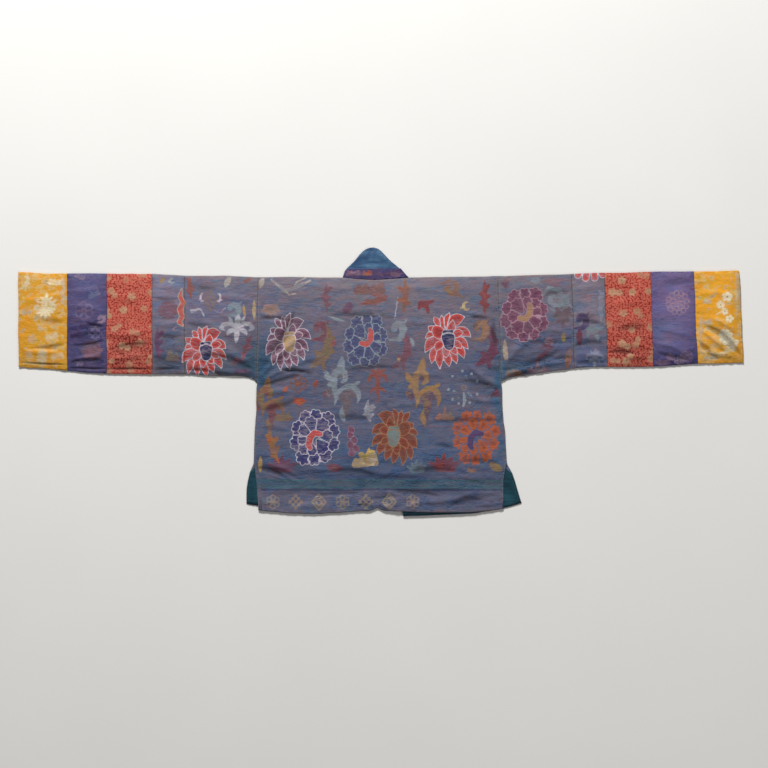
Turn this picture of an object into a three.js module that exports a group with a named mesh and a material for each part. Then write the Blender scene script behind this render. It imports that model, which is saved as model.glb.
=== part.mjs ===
// A lined silk jacket with banded sleeves, laid flat on a surface with its back up.
// Millimetres. +X runs along the sleeves, +Y towards the collar, +Z up off the surface.
// Left and right are the wearer's: seen from behind, the left sleeve points to -X.
import * as THREE from "three";

// ---- Driving dimensions ----------------------------------------------------
const CLOTH = 1.2; // brocade with its interlining
const LINING = 1.0;
const AIR = 0.3; // between two layers that lie on each other
const SEAM = 0.3; // between two pieces sewn edge to edge
const ON_CLOTH = CLOTH + AIR; // height of what lies on one layer of brocade
const ON_FRONT = ON_CLOTH + LINING + AIR; // height of what lies on a lined front
const SLEEVE_HEIGHT = ON_FRONT + CLOTH; // a flattened sleeve, level with the back panel

const ROLL = 9; // width over which a seamed or folded edge rolls down
const CLEAR = 14; // how far a lining stops short of a seamed or folded edge
const HEM_TURN = 1.2; // how far a lining stops short of an open edge
const OVERLAP_CLEAR = 22; // flat margin round an edge that lies underneath
const OVERLAP_SLOPE = 40; // width over which a layer comes down beside such an edge
const NECK_LEFT = -97;
const NECK_RIGHT = 72;
const NECK_EASE = 18; // width over which the shoulder roll starts beside the neck
const BILLOW = 1.4; // how far a sleeve's upper side swells between its two folds
const BILLOW_START = 305; // distance from the centre where a sleeve starts to swell
const BILLOW_RUN = 90;
const FOLD_MARGIN = 8; // a fold dies out over an eighth of a sleeve's width beside its edges
const INNER_SHARE = 0.45; // a sleeve's inner face follows its folds less, so the wall thickens
const UNDER_STEPS = 3; // faces across the underside and across the upper side of a sleeve
const UPPER_STEPS = 16;
const UNDERARM = -5; // height on Y where the armhole ends and the side seam starts
const VENT = -205; // height on Y where the side vent opens
const FADE_LOW = 205; // the fronts start to lie on each other between these heights
const FADE_HIGH = 235;
const BACK_LEAD = 24; // how much sooner the back rises over such an edge than the underlap does

// Shoulder fold and back neckline, from left to right.
const SHOULDER = [
  { x: -312, y: 262.5 },
  { x: -200, y: 262.5 },
  { x: -97, y: 262 },
  { x: -60, y: 257.5 },
  { x: -10, y: 255 },
  { x: 40, y: 258 },
  { x: 72, y: 261.5 },
  { x: 200, y: 264 },
  { x: 300, y: 265 },
];

// Hem of the back, with a small notch at the centre fold.
const BACK_HEM = [
  { x: -307, y: -320 },
  { x: -257, y: -325 },
  { x: -217, y: -328.5 },
  { x: -137, y: -327.5 },
  { x: -57, y: -323 },
  { x: -27, y: -322.5 },
  { x: -11, y: -314 },
  { x: 5, y: -322.5 },
  { x: 72, y: -325 },
  { x: 147, y: -326.3 },
  { x: 222, y: -325 },
  { x: 262, y: -322.5 },
  { x: 305, y: -316.3 },
];
const NOTCH_COLUMNS = [0.459, 0.485, 0.511];

// Armhole, side seam and open vent edge of the back, from hem to shoulder.
const BACK_SIDES = [
  { y: -322, left: -306.8, right: 305 },
  { y: -295, left: -307.5, right: 305 },
  { y: -262, left: -310, right: 305 },
  { y: -240, left: -312.5, right: 306 },
  { y: -214, left: -315.5, right: 309 },
  { y: -204, left: -319.3, right: 315 },
  { y: -160, left: -317.5, right: 312.5 },
  { y: -130, left: -315, right: 310 },
  { y: -85, left: -311.8, right: 305 },
  { y: -12, left: -311.8, right: 302.5 },
  { y: -5, left: -310.2, right: 300.2 },
  { y: 265, left: -306.8, right: 291.8 },
];

// Side and free edge of the left front, the outer overlap, which lies lowest.
const LEFT_FRONT_SIDES = [
  { y: -312, side: -336.5, free: 180 },
  { y: -280, side: -336.8, free: 180 },
  { y: -252, side: -333.8, free: 180 },
  { y: -224, side: -327.5, free: 180 },
  { y: -210, side: -320.5, free: 180 },
  { y: -204, side: -319.3, free: 180 },
  { y: -130, side: -315, free: 180 },
  { y: -85, side: -311.8, free: 180 },
  { y: -12, side: -311.8, free: 180 },
  { y: -5, side: -310.2, free: 180 },
  { y: 60, side: -309.4, free: 175 },
  { y: 130, side: -308.4, free: 120 },
  { y: 205, side: -307.6, free: 15 },
  { y: 265, side: -306.8, free: -30 },
];
const LEFT_FRONT_HEM = [
  { x: -337, y: -303.8 },
  { x: -307, y: -311.3 },
  { x: -250, y: -314 },
  { x: 180, y: -316 },
];

// Free edge and side of the right front, the underlap, which hangs lowest at its free edge.
const RIGHT_FRONT_SIDES = [
  { y: -336, free: 55, side: 351.3 },
  { y: -303, free: 54, side: 351.3 },
  { y: -292, free: 53, side: 347.5 },
  { y: -270, free: 52, side: 341.3 },
  { y: -245, free: 51, side: 333.8 },
  { y: -220, free: 50, side: 325 },
  { y: -204, free: 49, side: 315 },
  { y: -160, free: 47, side: 312.5 },
  { y: -130, free: 46, side: 310 },
  { y: -85, free: 44, side: 305 },
  { y: -12, free: 40, side: 302.5 },
  { y: -5, free: 39, side: 300.2 },
  { y: 205, free: 30, side: 293.7 },
  { y: 265, free: 25, side: 291.8 },
];
const RIGHT_FRONT_HEM = [
  { x: 53, y: -336.3 },
  { x: 122, y: -333.8 },
  { x: 222, y: -328.8 },
  { x: 257, y: -325 },
  { x: 306, y: -315 },
  { x: 320, y: -311.3 },
  { x: 335, y: -307.5 },
  { x: 351, y: -302.5 },
];

// Collar: a rounded triangle above the neckline, and the back stretch that lies on it.
const COLLAR_OUTLINE = [
  { y: 255, left: -97, right: 72 },
  { y: 262, left: -96, right: 68 },
  { y: 280, left: -90, right: 50 },
  { y: 295, left: -75, right: 35 },
  { y: 305, left: -65, right: 22.5 },
  { y: 315, left: -57.5, right: 12.5 },
  { y: 325, left: -47.5, right: 4 },
  { y: 332, left: -38, right: -5 },
  { y: 335, left: -31, right: -12 },
  { y: 336.3, left: -25, right: -17 },
];
const COLLAR_TOP = 336.3;
const COLLAR_BAND_TOP = 284;
const COLLAR_BAND_SIDES = [
  { y: 255, left: -97, right: 72 },
  { y: 270, left: -92, right: 60 },
  { y: 284, left: -84, right: 48.5 },
];

// Sleeve stations from armhole to cuff: where the section meets the shoulder fold (top) and the
// underarm seam (low), so that a seam may slant.
const LEFT_SLEEVE = [
  { topX: -306.8, lowX: -310.2, top: 262.5, low: 1.5 },
  { topX: -314, lowX: -316, top: 262.5, low: 5.5 },
  { topX: -324, lowX: -325, top: 263, low: 10.5 },
  { topX: -345, lowX: -345, top: 263.5, low: 14 },
  { topX: -390, lowX: -390, top: 265, low: 15 },
  { topX: -440, lowX: -440, top: 265, low: 16 },
  { topX: -490, lowX: -490, top: 266, low: 19 },
  { topX: -540, lowX: -540, top: 268.5, low: 20 },
  { topX: -571.3, lowX: -571.3, top: 270, low: 20 },
  { topX: -628, lowX: -628, top: 270, low: 20 },
  { topX: -685, lowX: -685, top: 270, low: 21.5 },
  { topX: -735, lowX: -735, top: 270.5, low: 24 },
  { topX: -783.8, lowX: -783.8, top: 271.5, low: 28.8 },
  { topX: -845, lowX: -845, top: 273, low: 34 },
  { topX: -905.5, lowX: -905.5, top: 275, low: 37.5 },
];
const RIGHT_SLEEVE = [
  { topX: 291.8, lowX: 300.2, top: 265, low: 1.5 },
  { topX: 303, lowX: 307, top: 265, low: 4.5 },
  { topX: 314, lowX: 317.5, top: 265, low: 10 },
  { topX: 345, lowX: 348, top: 266, low: 15 },
  { topX: 385, lowX: 388, top: 267, low: 21 },
  { topX: 432, lowX: 436, top: 269, low: 28 },
  { topX: 476.5, lowX: 484, top: 270, low: 34 },
  { topX: 520, lowX: 526, top: 271, low: 37 },
  { topX: 559.5, lowX: 565.8, top: 272.5, low: 37.5 },
  { topX: 616, lowX: 622, top: 274, low: 37.8 },
  { topX: 674, lowX: 680, top: 276, low: 38.5 },
  { topX: 727, lowX: 735, top: 276.5, low: 42 },
  { topX: 780, lowX: 791.5, top: 277, low: 46 },
  { topX: 840, lowX: 848, top: 277.2, low: 47 },
  { topX: 894.8, lowX: 905.5, top: 277.5, low: 47.5 },
];

// The largest soft folds: a ridge from one end to the other, its height and half width.
const FOLD_TAPER = 0.12; // share of a fold's full height at its ends, as an angle of half a turn
const FOLD_FALL = 2.2; // how fast a fold falls away across its half width
const FOLDS = [
  { x0: -300, y0: 20, x1: -170, y1: 140, rise: 2.6, half: 26 },
  { x0: -306, y0: 60, x1: -215, y1: 215, rise: 1.7, half: 24 },
  { x0: -290, y0: -8, x1: -150, y1: 28, rise: 2.0, half: 22 },
  { x0: 290, y0: 15, x1: 262, y1: 150, rise: 2.4, half: 24 },
  { x0: 290, y0: -10, x1: 170, y1: 40, rise: 1.8, half: 24 },
  { x0: -12, y0: 240, x1: -14, y1: -300, rise: 1.3, half: 20 },
  { x0: -290, y0: -212, x1: -150, y1: -252, rise: 1.9, half: 24 },
  { x0: 60, y0: -190, x1: 280, y1: -176, rise: 1.5, half: 28 },
  { x0: -120, y0: -150, x1: 70, y1: -138, rise: 1.3, half: 30 },
  { x0: -330, y0: 40, x1: -480, y1: 62, rise: 2.6, half: 24 },
  { x0: -325, y0: 150, x1: -450, y1: 190, rise: 1.6, half: 30 },
  { x0: 325, y0: 42, x1: 460, y1: 78, rise: 2.6, half: 24 },
  { x0: 320, y0: 140, x1: 455, y1: 168, rise: 1.6, half: 30 },
  { x0: -590, y0: 55, x1: -770, y1: 70, rise: 1.8, half: 26 },
  { x0: 600, y0: 70, x1: 780, y1: 84, rise: 1.8, half: 26 },
  { x0: 800, y0: 80, x1: 880, y1: 190, rise: 2.0, half: 24 },
  { x0: -800, y0: 84, x1: -890, y1: 96, rise: 1.5, half: 24 },
  { x0: -295, y0: -60, x1: -190, y1: -20, rise: 1.6, half: 24 },
  { x0: 292, y0: -60, x1: 200, y1: -30, rise: 1.5, half: 24 },
  { x0: -250, y0: 235, x1: -120, y1: 205, rise: 1.2, half: 28 },
  { x0: 120, y0: 215, x1: 270, y1: 232, rise: 1.2, half: 28 },
  { x0: -560, y0: 120, x1: -450, y1: 150, rise: 1.4, half: 28 },
  { x0: 700, y0: 190, x1: 770, y1: 150, rise: 1.2, half: 26 },
];

// ---- Colours and finishes --------------------------------------------------
const silk = (color, roughness) => new THREE.MeshStandardMaterial({ color, roughness, metalness: 0 });
const BROCADE = silk("#6b6473", 0.55);
const RED = silk("#ab5d51", 0.6);
const PURPLE = silk("#64597a", 0.5);
const YELLOW = silk("#d49f57", 0.45);
const TEAL = silk("#2f5568", 0.5);
const VIOLET = silk("#5f506b", 0.55);

// ---- Small helpers ---------------------------------------------------------
const mix = (a, b, t) => a + (b - a) * t;

const clamp01 = (t) => Math.min(1, Math.max(0, t));

function ease(t) {
  const s = clamp01(t);
  return s * s * (3 - 2 * s);
}

function even(steps) {
  return Array.from({ length: steps + 1 }, (_, i) => i / steps);
}

function sorted(...lists) {
  return [...new Set(lists.flat())].sort((a, b) => a - b);
}

// The value in one column of a table of rows, at a place in another column.
function read(rows, at, column, place) {
  const last = rows.length - 1;
  if (place <= rows[0][at]) return rows[0][column];
  if (place >= rows[last][at]) return rows[last][column];
  const i = rows.findIndex((row) => row[at] > place) - 1;
  const t = (place - rows[i][at]) / (rows[i + 1][at] - rows[i][at]);
  return mix(rows[i][column], rows[i + 1][column], t);
}

// Height of the large folds above the flat cloth.
function foldHeight(x, y) {
  let height = 0;
  for (const fold of FOLDS) {
    const runX = fold.x1 - fold.x0;
    const runY = fold.y1 - fold.y0;
    const along = ((x - fold.x0) * runX + (y - fold.y0) * runY) / (runX * runX + runY * runY);
    const t = clamp01(along);
    const off = Math.hypot(x - fold.x0 - runX * t, y - fold.y0 - runY * t) / fold.half;
    const taper = Math.sin(Math.PI * mix(FOLD_TAPER, 1 - FOLD_TAPER, t));
    height += fold.rise * taper * Math.exp(-FOLD_FALL * off * off);
  }
  return height;
}

// ---- Closed shapes ---------------------------------------------------------
function closedGeometry(points, faces) {
  const geometry = new THREE.BufferGeometry();
  geometry.setAttribute("position", new THREE.Float32BufferAttribute(points.flat(), 3));
  geometry.setIndex(faces.flat());
  const flat = geometry.toNonIndexed();
  flat.computeVertexNormals();
  return flat;
}

// A sheet over a grid: place(u, v) gives the underside, and the wall stands above it.
function sheetGeometry(columns, rows, place, wall) {
  const points = [];
  const faces = [];
  const wide = columns.length;
  const under = (i, j) => 2 * (j * wide + i);
  const over = (i, j) => under(i, j) + 1;
  for (const v of rows) {
    for (const u of columns) {
      const [x, y, z] = place(u, v);
      points.push([x, y, z], [x, y, z + wall]);
    }
  }
  const quad = (a, b, c, d) => faces.push([a, b, c], [a, c, d]);
  for (let j = 0; j < rows.length - 1; j++) {
    for (let i = 0; i < wide - 1; i++) {
      quad(over(i, j), over(i + 1, j), over(i + 1, j + 1), over(i, j + 1));
      quad(under(i, j), under(i, j + 1), under(i + 1, j + 1), under(i + 1, j));
    }
  }
  const top = rows.length - 1;
  for (let i = 0; i < wide - 1; i++) {
    quad(under(i, 0), under(i + 1, 0), over(i + 1, 0), over(i, 0));
    quad(under(i + 1, top), under(i, top), over(i, top), over(i + 1, top));
  }
  for (let j = 0; j < top; j++) {
    quad(under(0, j + 1), under(0, j), over(0, j), over(0, j + 1));
    quad(under(wide - 1, j), under(wide - 1, j + 1), over(wide - 1, j + 1), over(wide - 1, j));
  }
  return closedGeometry(points, faces);
}

// The grid of a panel between two side curves, a hem curve and a top curve.
// floor(x, y) is what it lies on.
function panelGrid({ left, right, hem, top, floor, columns, rows }) {
  const point = (u, v) => {
    const roughY = mix(hem((left(0) + right(0)) / 2), top(0), v);
    const roughX = mix(left(roughY), right(roughY), u);
    const y = mix(hem(roughX), top(roughX), v);
    const x = mix(left(y), right(y), u);
    return [x, y, floor(x, y)];
  };
  return { columns, rows, points: rows.map((v) => columns.map((u) => point(u, v))) };
}

const panelGeometry = (grid, wall) => {
  const place = (u, v) => grid.points[grid.rows.indexOf(v)][grid.columns.indexOf(u)];
  return sheetGeometry(grid.columns, grid.rows, place, wall);
};

// A point of a panel between its grid points.
function onGrid(grid, u, v) {
  const cell = (list, t) => Math.max(1, list.findIndex((value) => value >= t)) - 1;
  const i = cell(grid.columns, u);
  const j = cell(grid.rows, v);
  const s = (u - grid.columns[i]) / (grid.columns[i + 1] - grid.columns[i]);
  const t = (v - grid.rows[j]) / (grid.rows[j + 1] - grid.rows[j]);
  const across = (row) => row[i].map((value, axis) => mix(value, row[i + 1][axis], s));
  const low = across(grid.points[j]);
  const high = across(grid.points[j + 1]);
  return low.map((value, axis) => mix(value, high[axis], t));
}

// A lining made from the points of its front, moved up, with its edges drawn in.
// The insets are how far each edge stops short, at a height on Y.
function liningGeometry(front, { leftInset, rightInset, hemInset, topInset }) {
  const place = (u, v) => {
    const [leftX] = onGrid(front, 0, v);
    const [rightX, y] = onGrid(front, 1, v);
    const height = onGrid(front, u, 1)[1] - onGrid(front, u, 0)[1];
    const inU = Math.min(Math.max(u, leftInset(y) / (rightX - leftX)), 1 - rightInset(y) / (rightX - leftX));
    const inV = Math.min(Math.max(v, hemInset / height), 1 - topInset / height);
    const point = onGrid(front, inU, inV);
    return [point[0], point[1], point[2] + ON_CLOTH];
  };
  return sheetGeometry(front.columns, front.rows, place, LINING);
}

// One flattened ring of a sleeve: flat underneath, round at both folds, folds on its upper side.
function sleeveRing(station, inset, underSteps, upperSteps) {
  const radius = SLEEVE_HEIGHT / 2;
  const low = station.low + radius;
  const top = station.top - radius;
  const reach = radius - inset;
  const atY = (y) => mix(station.lowX, station.topX, (y - station.low) / (station.top - station.low));
  const share = inset > 0 ? INNER_SHARE : 1;
  const ring = [];
  for (const t of even(underSteps)) {
    const y = mix(low, top, t);
    ring.push([atY(y), y, inset]);
  }
  for (const turn of [-Math.PI / 4, 0, Math.PI / 4]) {
    const y = top + reach * Math.cos(turn);
    ring.push([atY(y), y, radius + reach * Math.sin(turn)]);
  }
  for (const t of even(upperSteps)) {
    const y = mix(top, low, t);
    const x = atY(y);
    const billow = BILLOW * Math.sin(Math.PI * t) * ease((Math.abs(x) - BILLOW_START) / BILLOW_RUN);
    const rise = billow + foldHeight(x, y) * ease(Math.min(t, 1 - t) * FOLD_MARGIN);
    ring.push([x, y, SLEEVE_HEIGHT - inset + rise * share]);
  }
  for (const turn of [Math.PI / 4, 0, -Math.PI / 4]) {
    const y = low - reach * Math.cos(turn);
    ring.push([atY(y), y, radius + reach * Math.sin(turn)]);
  }
  return ring;
}

// An open tube through sleeve stations, as one closed wall.
function sleeveGeometry(stations, underSteps, upperSteps) {
  const outward = Math.sign(stations[stations.length - 1].topX - stations[0].topX);
  const points = [];
  const faces = [];
  for (const station of stations) {
    points.push(...sleeveRing(station, 0, underSteps, upperSteps));
    points.push(...sleeveRing(station, CLOTH, underSteps, upperSteps));
  }
  const around = points.length / stations.length / 2;
  const outer = (s, i) => s * 2 * around + (i % around);
  const inner = (s, i) => outer(s, i) + around;
  const quad = (a, b, c, d) => faces.push(outward > 0 ? [a, b, c] : [c, b, a], outward > 0 ? [a, c, d] : [d, c, a]);
  const end = stations.length - 1;
  for (let i = 0; i < around; i++) {
    for (let s = 0; s < end; s++) {
      quad(outer(s, i), outer(s, i + 1), outer(s + 1, i + 1), outer(s + 1, i));
      quad(inner(s, i), inner(s + 1, i), inner(s + 1, i + 1), inner(s, i + 1));
    }
    quad(outer(0, i), inner(0, i), inner(0, i + 1), outer(0, i + 1));
    quad(outer(end, i), outer(end, i + 1), inner(end, i + 1), inner(end, i));
  }
  return closedGeometry(points, faces);
}

// ---- What lies on what -----------------------------------------------------
const overlapEdge = (y) => read(LEFT_FRONT_SIDES, "y", "free", y);
const underlapEdge = (y) => read(RIGHT_FRONT_SIDES, "y", "free", y);
const shoulder = (x) => read(SHOULDER, "x", "y", x);

// 1 where the underlap is held up by the left front, falling to 0 beside it and towards the neck.
function underlapLift(x, y) {
  const beside = ease((x - overlapEdge(y) - OVERLAP_CLEAR) / OVERLAP_SLOPE);
  return (1 - beside) * (1 - ease((y - FADE_LOW) / (FADE_HIGH - FADE_LOW)));
}

// 1 where the back lies on both fronts, falling to 0 beside them.
function backLift(x, y) {
  const before = ease((underlapEdge(y) - OVERLAP_CLEAR - x) / OVERLAP_SLOPE);
  return (1 - before) * underlapLift(x - BACK_LEAD, y - BACK_LEAD);
}

// 0 at a side seam or at the shoulder fold, 1 away from it. Armholes, vents and neck stay level.
function backRoll(x, y) {
  const side = Math.min(x - read(BACK_SIDES, "y", "left", y), read(BACK_SIDES, "y", "right", y) - x);
  const seamed = ease((y - VENT) / ROLL) * ease((UNDERARM - y) / ROLL);
  const sideRoll = 1 - seamed * (1 - ease(side / ROLL));
  const neck = ease((NECK_LEFT - x) / NECK_EASE) + ease((x - NECK_RIGHT) / NECK_EASE);
  const shoulderRoll = 1 - neck * (1 - ease((shoulder(x) - y) / ROLL));
  return Math.min(sideRoll, shoulderRoll);
}

function backFloor(x, y) {
  const level = ON_FRONT * (1 + backLift(x, y)) + foldHeight(x, y) * ease(backRoll(x, y));
  return mix(ON_CLOTH, level, backRoll(x, y));
}

// ---- Pieces ----------------------------------------------------------------
const edge = (table, column) => (y) => read(table, "y", column, y);
const moved = (curve, by) => (at) => curve(at) + by;
const foldLine = moved(shoulder, -SEAM / 2);

function backGrid() {
  const seamRows = [VENT - ROLL, VENT, VENT + ROLL, UNDERARM - ROLL, UNDERARM].map(
    (y) => (y - BACK_HEM[0].y) / (SHOULDER[0].y - BACK_HEM[0].y),
  );
  return panelGrid({
    left: moved(edge(BACK_SIDES, "left"), SEAM / 2),
    right: moved(edge(BACK_SIDES, "right"), -SEAM / 2),
    hem: (x) => read(BACK_HEM, "x", "y", x),
    top: foldLine,
    floor: backFloor,
    columns: sorted(even(22), NOTCH_COLUMNS, [0.007, 0.016, 0.984, 0.993]),
    rows: sorted(even(16), seamRows, [0.984, 0.993]),
  });
}

// Close together where the fronts flare out at the vents, and at the underarm.
const FRONT_ROWS = [
  0, 0.03, 0.06, 0.1, 0.14, 0.18, 0.2, 0.3, 0.4, 0.523, 0.537, 0.65, 0.76, 0.81, 0.86, 0.91, 0.96, 1,
];

function leftFrontGrid() {
  return panelGrid({
    left: moved(edge(LEFT_FRONT_SIDES, "side"), SEAM / 2),
    right: overlapEdge,
    hem: (x) => read(LEFT_FRONT_HEM, "x", "y", x),
    top: foldLine,
    floor: () => 0,
    columns: [0, 0.03, 0.17, 0.33, 0.5, 0.63, 0.758, 0.892, 1], // the last ones bend with the neckline
    rows: FRONT_ROWS,
  });
}

function rightFrontGrid() {
  return panelGrid({
    left: underlapEdge,
    right: moved(edge(RIGHT_FRONT_SIDES, "side"), -SEAM / 2),
    hem: (x) => read(RIGHT_FRONT_HEM, "x", "y", x),
    top: foldLine,
    floor: (x, y) => ON_FRONT * underlapLift(x, y),
    columns: sorted(even(14), [0.056, 0.176]),
    rows: FRONT_ROWS,
  });
}

// How far a lining stops short of its front's side: well inside a seam, close to an open vent.
function sideInset(y) {
  return mix(HEM_TURN, CLEAR, ease((y - VENT + CLEAR) / CLEAR));
}

function leftLining(front) {
  return liningGeometry(front, {
    leftInset: sideInset,
    rightInset: () => CLEAR,
    hemInset: HEM_TURN,
    topInset: CLEAR,
  });
}

function rightLining(front) {
  return liningGeometry(front, {
    leftInset: () => HEM_TURN,
    rightInset: sideInset,
    hemInset: HEM_TURN,
    topInset: CLEAR,
  });
}

function collarPanel({ outline, top, height, wall, inset, rows }) {
  const grid = panelGrid({
    left: moved(edge(outline, "left"), inset),
    right: moved(edge(outline, "right"), -inset),
    hem: moved(shoulder, SEAM / 2),
    top: () => top - inset,
    floor: () => height,
    columns: even(10),
    rows,
  });
  return panelGeometry(grid, wall);
}

function collarFront() {
  const rows = sorted(even(9), [0.95, 0.98]);
  return collarPanel({ outline: COLLAR_OUTLINE, top: COLLAR_TOP, height: 0, wall: CLOTH, inset: 0, rows });
}

function collarLining() {
  return collarPanel({
    outline: COLLAR_OUTLINE,
    top: COLLAR_TOP,
    height: ON_CLOTH,
    wall: LINING,
    inset: HEM_TURN,
    rows: sorted(even(9), [0.95, 0.98]),
  });
}

function collarBand() {
  return collarPanel({
    outline: COLLAR_BAND_SIDES,
    top: COLLAR_BAND_TOP,
    height: ON_FRONT,
    wall: CLOTH,
    inset: 0,
    rows: even(4),
  });
}

// One piece of a sleeve between two of its stations, with half a seam left free at each sewn end.
function sleevePiece(table, from, to) {
  const toCuff = Math.sign(table[table.length - 1].topX);
  const stations = table.slice(from, to + 1).map((row) => ({ ...row }));
  const shift = (row, by) => {
    row.topX += by;
    row.lowX += by;
  };
  shift(stations[0], (toCuff * SEAM) / 2);
  if (to < table.length - 1) shift(stations[stations.length - 1], (-toCuff * SEAM) / 2);
  return sleeveGeometry(stations, UNDER_STEPS, UPPER_STEPS);
}

// ---- The jacket ------------------------------------------------------------
const jacket = new THREE.Group();

function add(name, geometry, material) {
  const mesh = new THREE.Mesh(geometry, material);
  mesh.name = name;
  jacket.add(mesh);
}

const leftFront = leftFrontGrid();
const rightFront = rightFrontGrid();
add("back", panelGeometry(backGrid(), CLOTH), BROCADE);
add("front_left", panelGeometry(leftFront, CLOTH), BROCADE);
add("front_right", panelGeometry(rightFront, CLOTH), BROCADE);
add("lining_left", leftLining(leftFront), TEAL);
add("lining_right", rightLining(rightFront), TEAL);
add("collar_front", collarFront(), VIOLET);
add("collar_lining", collarLining(), TEAL);
add("collar_band", collarBand(), VIOLET);
add("sleeve_upper_left", sleevePiece(LEFT_SLEEVE, 0, 6), BROCADE);
add("sleeve_strip_left", sleevePiece(LEFT_SLEEVE, 6, 8), BROCADE);
add("sleeve_red_left", sleevePiece(LEFT_SLEEVE, 8, 10), RED);
add("sleeve_purple_left", sleevePiece(LEFT_SLEEVE, 10, 12), PURPLE);
add("sleeve_yellow_left", sleevePiece(LEFT_SLEEVE, 12, 14), YELLOW);
add("sleeve_upper_right", sleevePiece(RIGHT_SLEEVE, 0, 6), BROCADE);
add("sleeve_strip_right", sleevePiece(RIGHT_SLEEVE, 6, 8), BROCADE);
add("sleeve_red_right", sleevePiece(RIGHT_SLEEVE, 8, 10), RED);
add("sleeve_purple_right", sleevePiece(RIGHT_SLEEVE, 10, 12), PURPLE);
add("sleeve_yellow_right", sleevePiece(RIGHT_SLEEVE, 12, 14), YELLOW);

// The origin is the middle of the footprint, on the surface.
const bounds = new THREE.Box3().setFromObject(jacket);
const middle = bounds.getCenter(new THREE.Vector3());
jacket.position.set(-middle.x, -middle.y, -bounds.min.z);

export default jacket;
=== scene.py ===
"""A lined silk brocade jacket with banded sleeves, laid flat with its back up.

Lengths in the tables are millimetres where nothing else is said; x runs along the sleeves and y towards
the collar.
"""
import math

import bmesh
import bpy
import numpy as np
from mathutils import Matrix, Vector
from mathutils.bvhtree import BVHTree


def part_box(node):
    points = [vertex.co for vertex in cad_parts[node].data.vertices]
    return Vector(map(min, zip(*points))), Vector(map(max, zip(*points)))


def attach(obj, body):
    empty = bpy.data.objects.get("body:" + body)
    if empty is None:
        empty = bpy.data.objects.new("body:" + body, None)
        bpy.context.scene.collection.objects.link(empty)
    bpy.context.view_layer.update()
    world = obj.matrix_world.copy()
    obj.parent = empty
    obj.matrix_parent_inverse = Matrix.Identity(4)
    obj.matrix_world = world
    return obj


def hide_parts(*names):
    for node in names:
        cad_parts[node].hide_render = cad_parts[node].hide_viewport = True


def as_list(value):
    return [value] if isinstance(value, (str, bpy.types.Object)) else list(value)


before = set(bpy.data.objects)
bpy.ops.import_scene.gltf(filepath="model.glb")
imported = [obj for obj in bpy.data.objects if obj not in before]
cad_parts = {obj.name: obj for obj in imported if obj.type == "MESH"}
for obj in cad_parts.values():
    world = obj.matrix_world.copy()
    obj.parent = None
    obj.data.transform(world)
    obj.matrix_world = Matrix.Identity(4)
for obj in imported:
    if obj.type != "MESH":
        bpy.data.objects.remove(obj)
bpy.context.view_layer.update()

MM = 0.001
WELD = 1e-5  # metres: closes the seams between the solids' loose triangles


# ---------------- tables
def cell_of(text):
    """A cell of a table: a number, or else a name."""
    try:
        return float(text)
    except ValueError:
        return text


def table(text):
    """Rows of cells; commas and new lines part the rows, and a line that ends in a colon is a heading."""
    lines = [line for line in text.splitlines() if not line.endswith(":")]
    rows = [row.split() for line in lines for row in line.split(",")]
    return [[cell_of(cell) for cell in row] for row in rows if row]


# ---------------- picture and light
LENS, SENSOR = 80.0, 36.0  # mm
PICTURE_WIDTH = 1.92  # metres across the picture at the height of the cloth
PICTURE_CENTRE = (0.0075, -0.005)  # metres
FLOOR_SIZE, FLOOR_HEIGHT = 30.0, -0.0004  # metres
# The soft lamps, which look at the middle of the jacket: name, place and size in metres, and power in watts.
LAMPS = table("key -0.9 4.5 3.2 1.2 430, fill 3.2 -3.6 4.2 3 70")
SKY = 0.19  # how bright the surroundings are


def linear(code):
    """A colour such as #b5443a as linear light."""
    parts = [int(code[i : i + 2], 16) / 255 for i in (1, 3, 5)]
    return tuple(c / 12.92 if c <= 0.04045 else ((c + 0.055) / 1.055) ** 2.4 for c in parts)


def add_object(name, data):
    made = bpy.data.objects.new(name, data)
    bpy.context.scene.collection.objects.link(made)
    return made


def make_camera():
    lens = bpy.data.cameras.new("camera")
    lens.lens = LENS
    lens.sensor_width = SENSOR
    lens.clip_end = 50.0
    camera = add_object("camera", lens)
    camera.location = (*PICTURE_CENTRE, PICTURE_WIDTH * LENS / SENSOR)
    bpy.context.scene.camera = camera


def make_lamps():
    for name, *place, size, power in LAMPS:
        lamp = bpy.data.lights.new(name, "AREA")
        lamp.shape = "DISK"
        lamp.size = size
        lamp.energy = power
        made = add_object(name, lamp)
        made.location = place
        made.rotation_euler = Vector(place).to_track_quat("Z", "Y").to_euler()
    world = bpy.data.worlds.new("studio")
    world.use_nodes = True
    world.node_tree.nodes["Background"].inputs["Color"].default_value = (SKY, SKY, SKY * 1.02, 1)
    bpy.context.scene.world = world
    bpy.context.scene.view_settings.view_transform = "Standard"


# ---------------- shader maths
class Value:
    """A node's output socket that takes part in Python arithmetic."""

    def __init__(self, nodes, node, which=0):
        self.nodes = nodes
        self.node = node
        self.which = which

    def out(self, which):
        """Another output of the same node."""
        return Value(self.nodes, self.node, which)

    def math(self, operation, *others):
        return self.nodes.math(operation, self, *others)

    def __add__(self, other):
        return self.math("ADD", other)

    def __sub__(self, other):
        return self.math("SUBTRACT", other)

    def __rsub__(self, other):
        return self.nodes.math("SUBTRACT", other, self)

    def __mul__(self, other):
        return self.math("MULTIPLY", other)

    def __truediv__(self, other):
        return self.math("DIVIDE", other)

    def __abs__(self):
        return self.math("ABSOLUTE")

    __radd__ = __add__
    __rmul__ = __mul__


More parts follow.
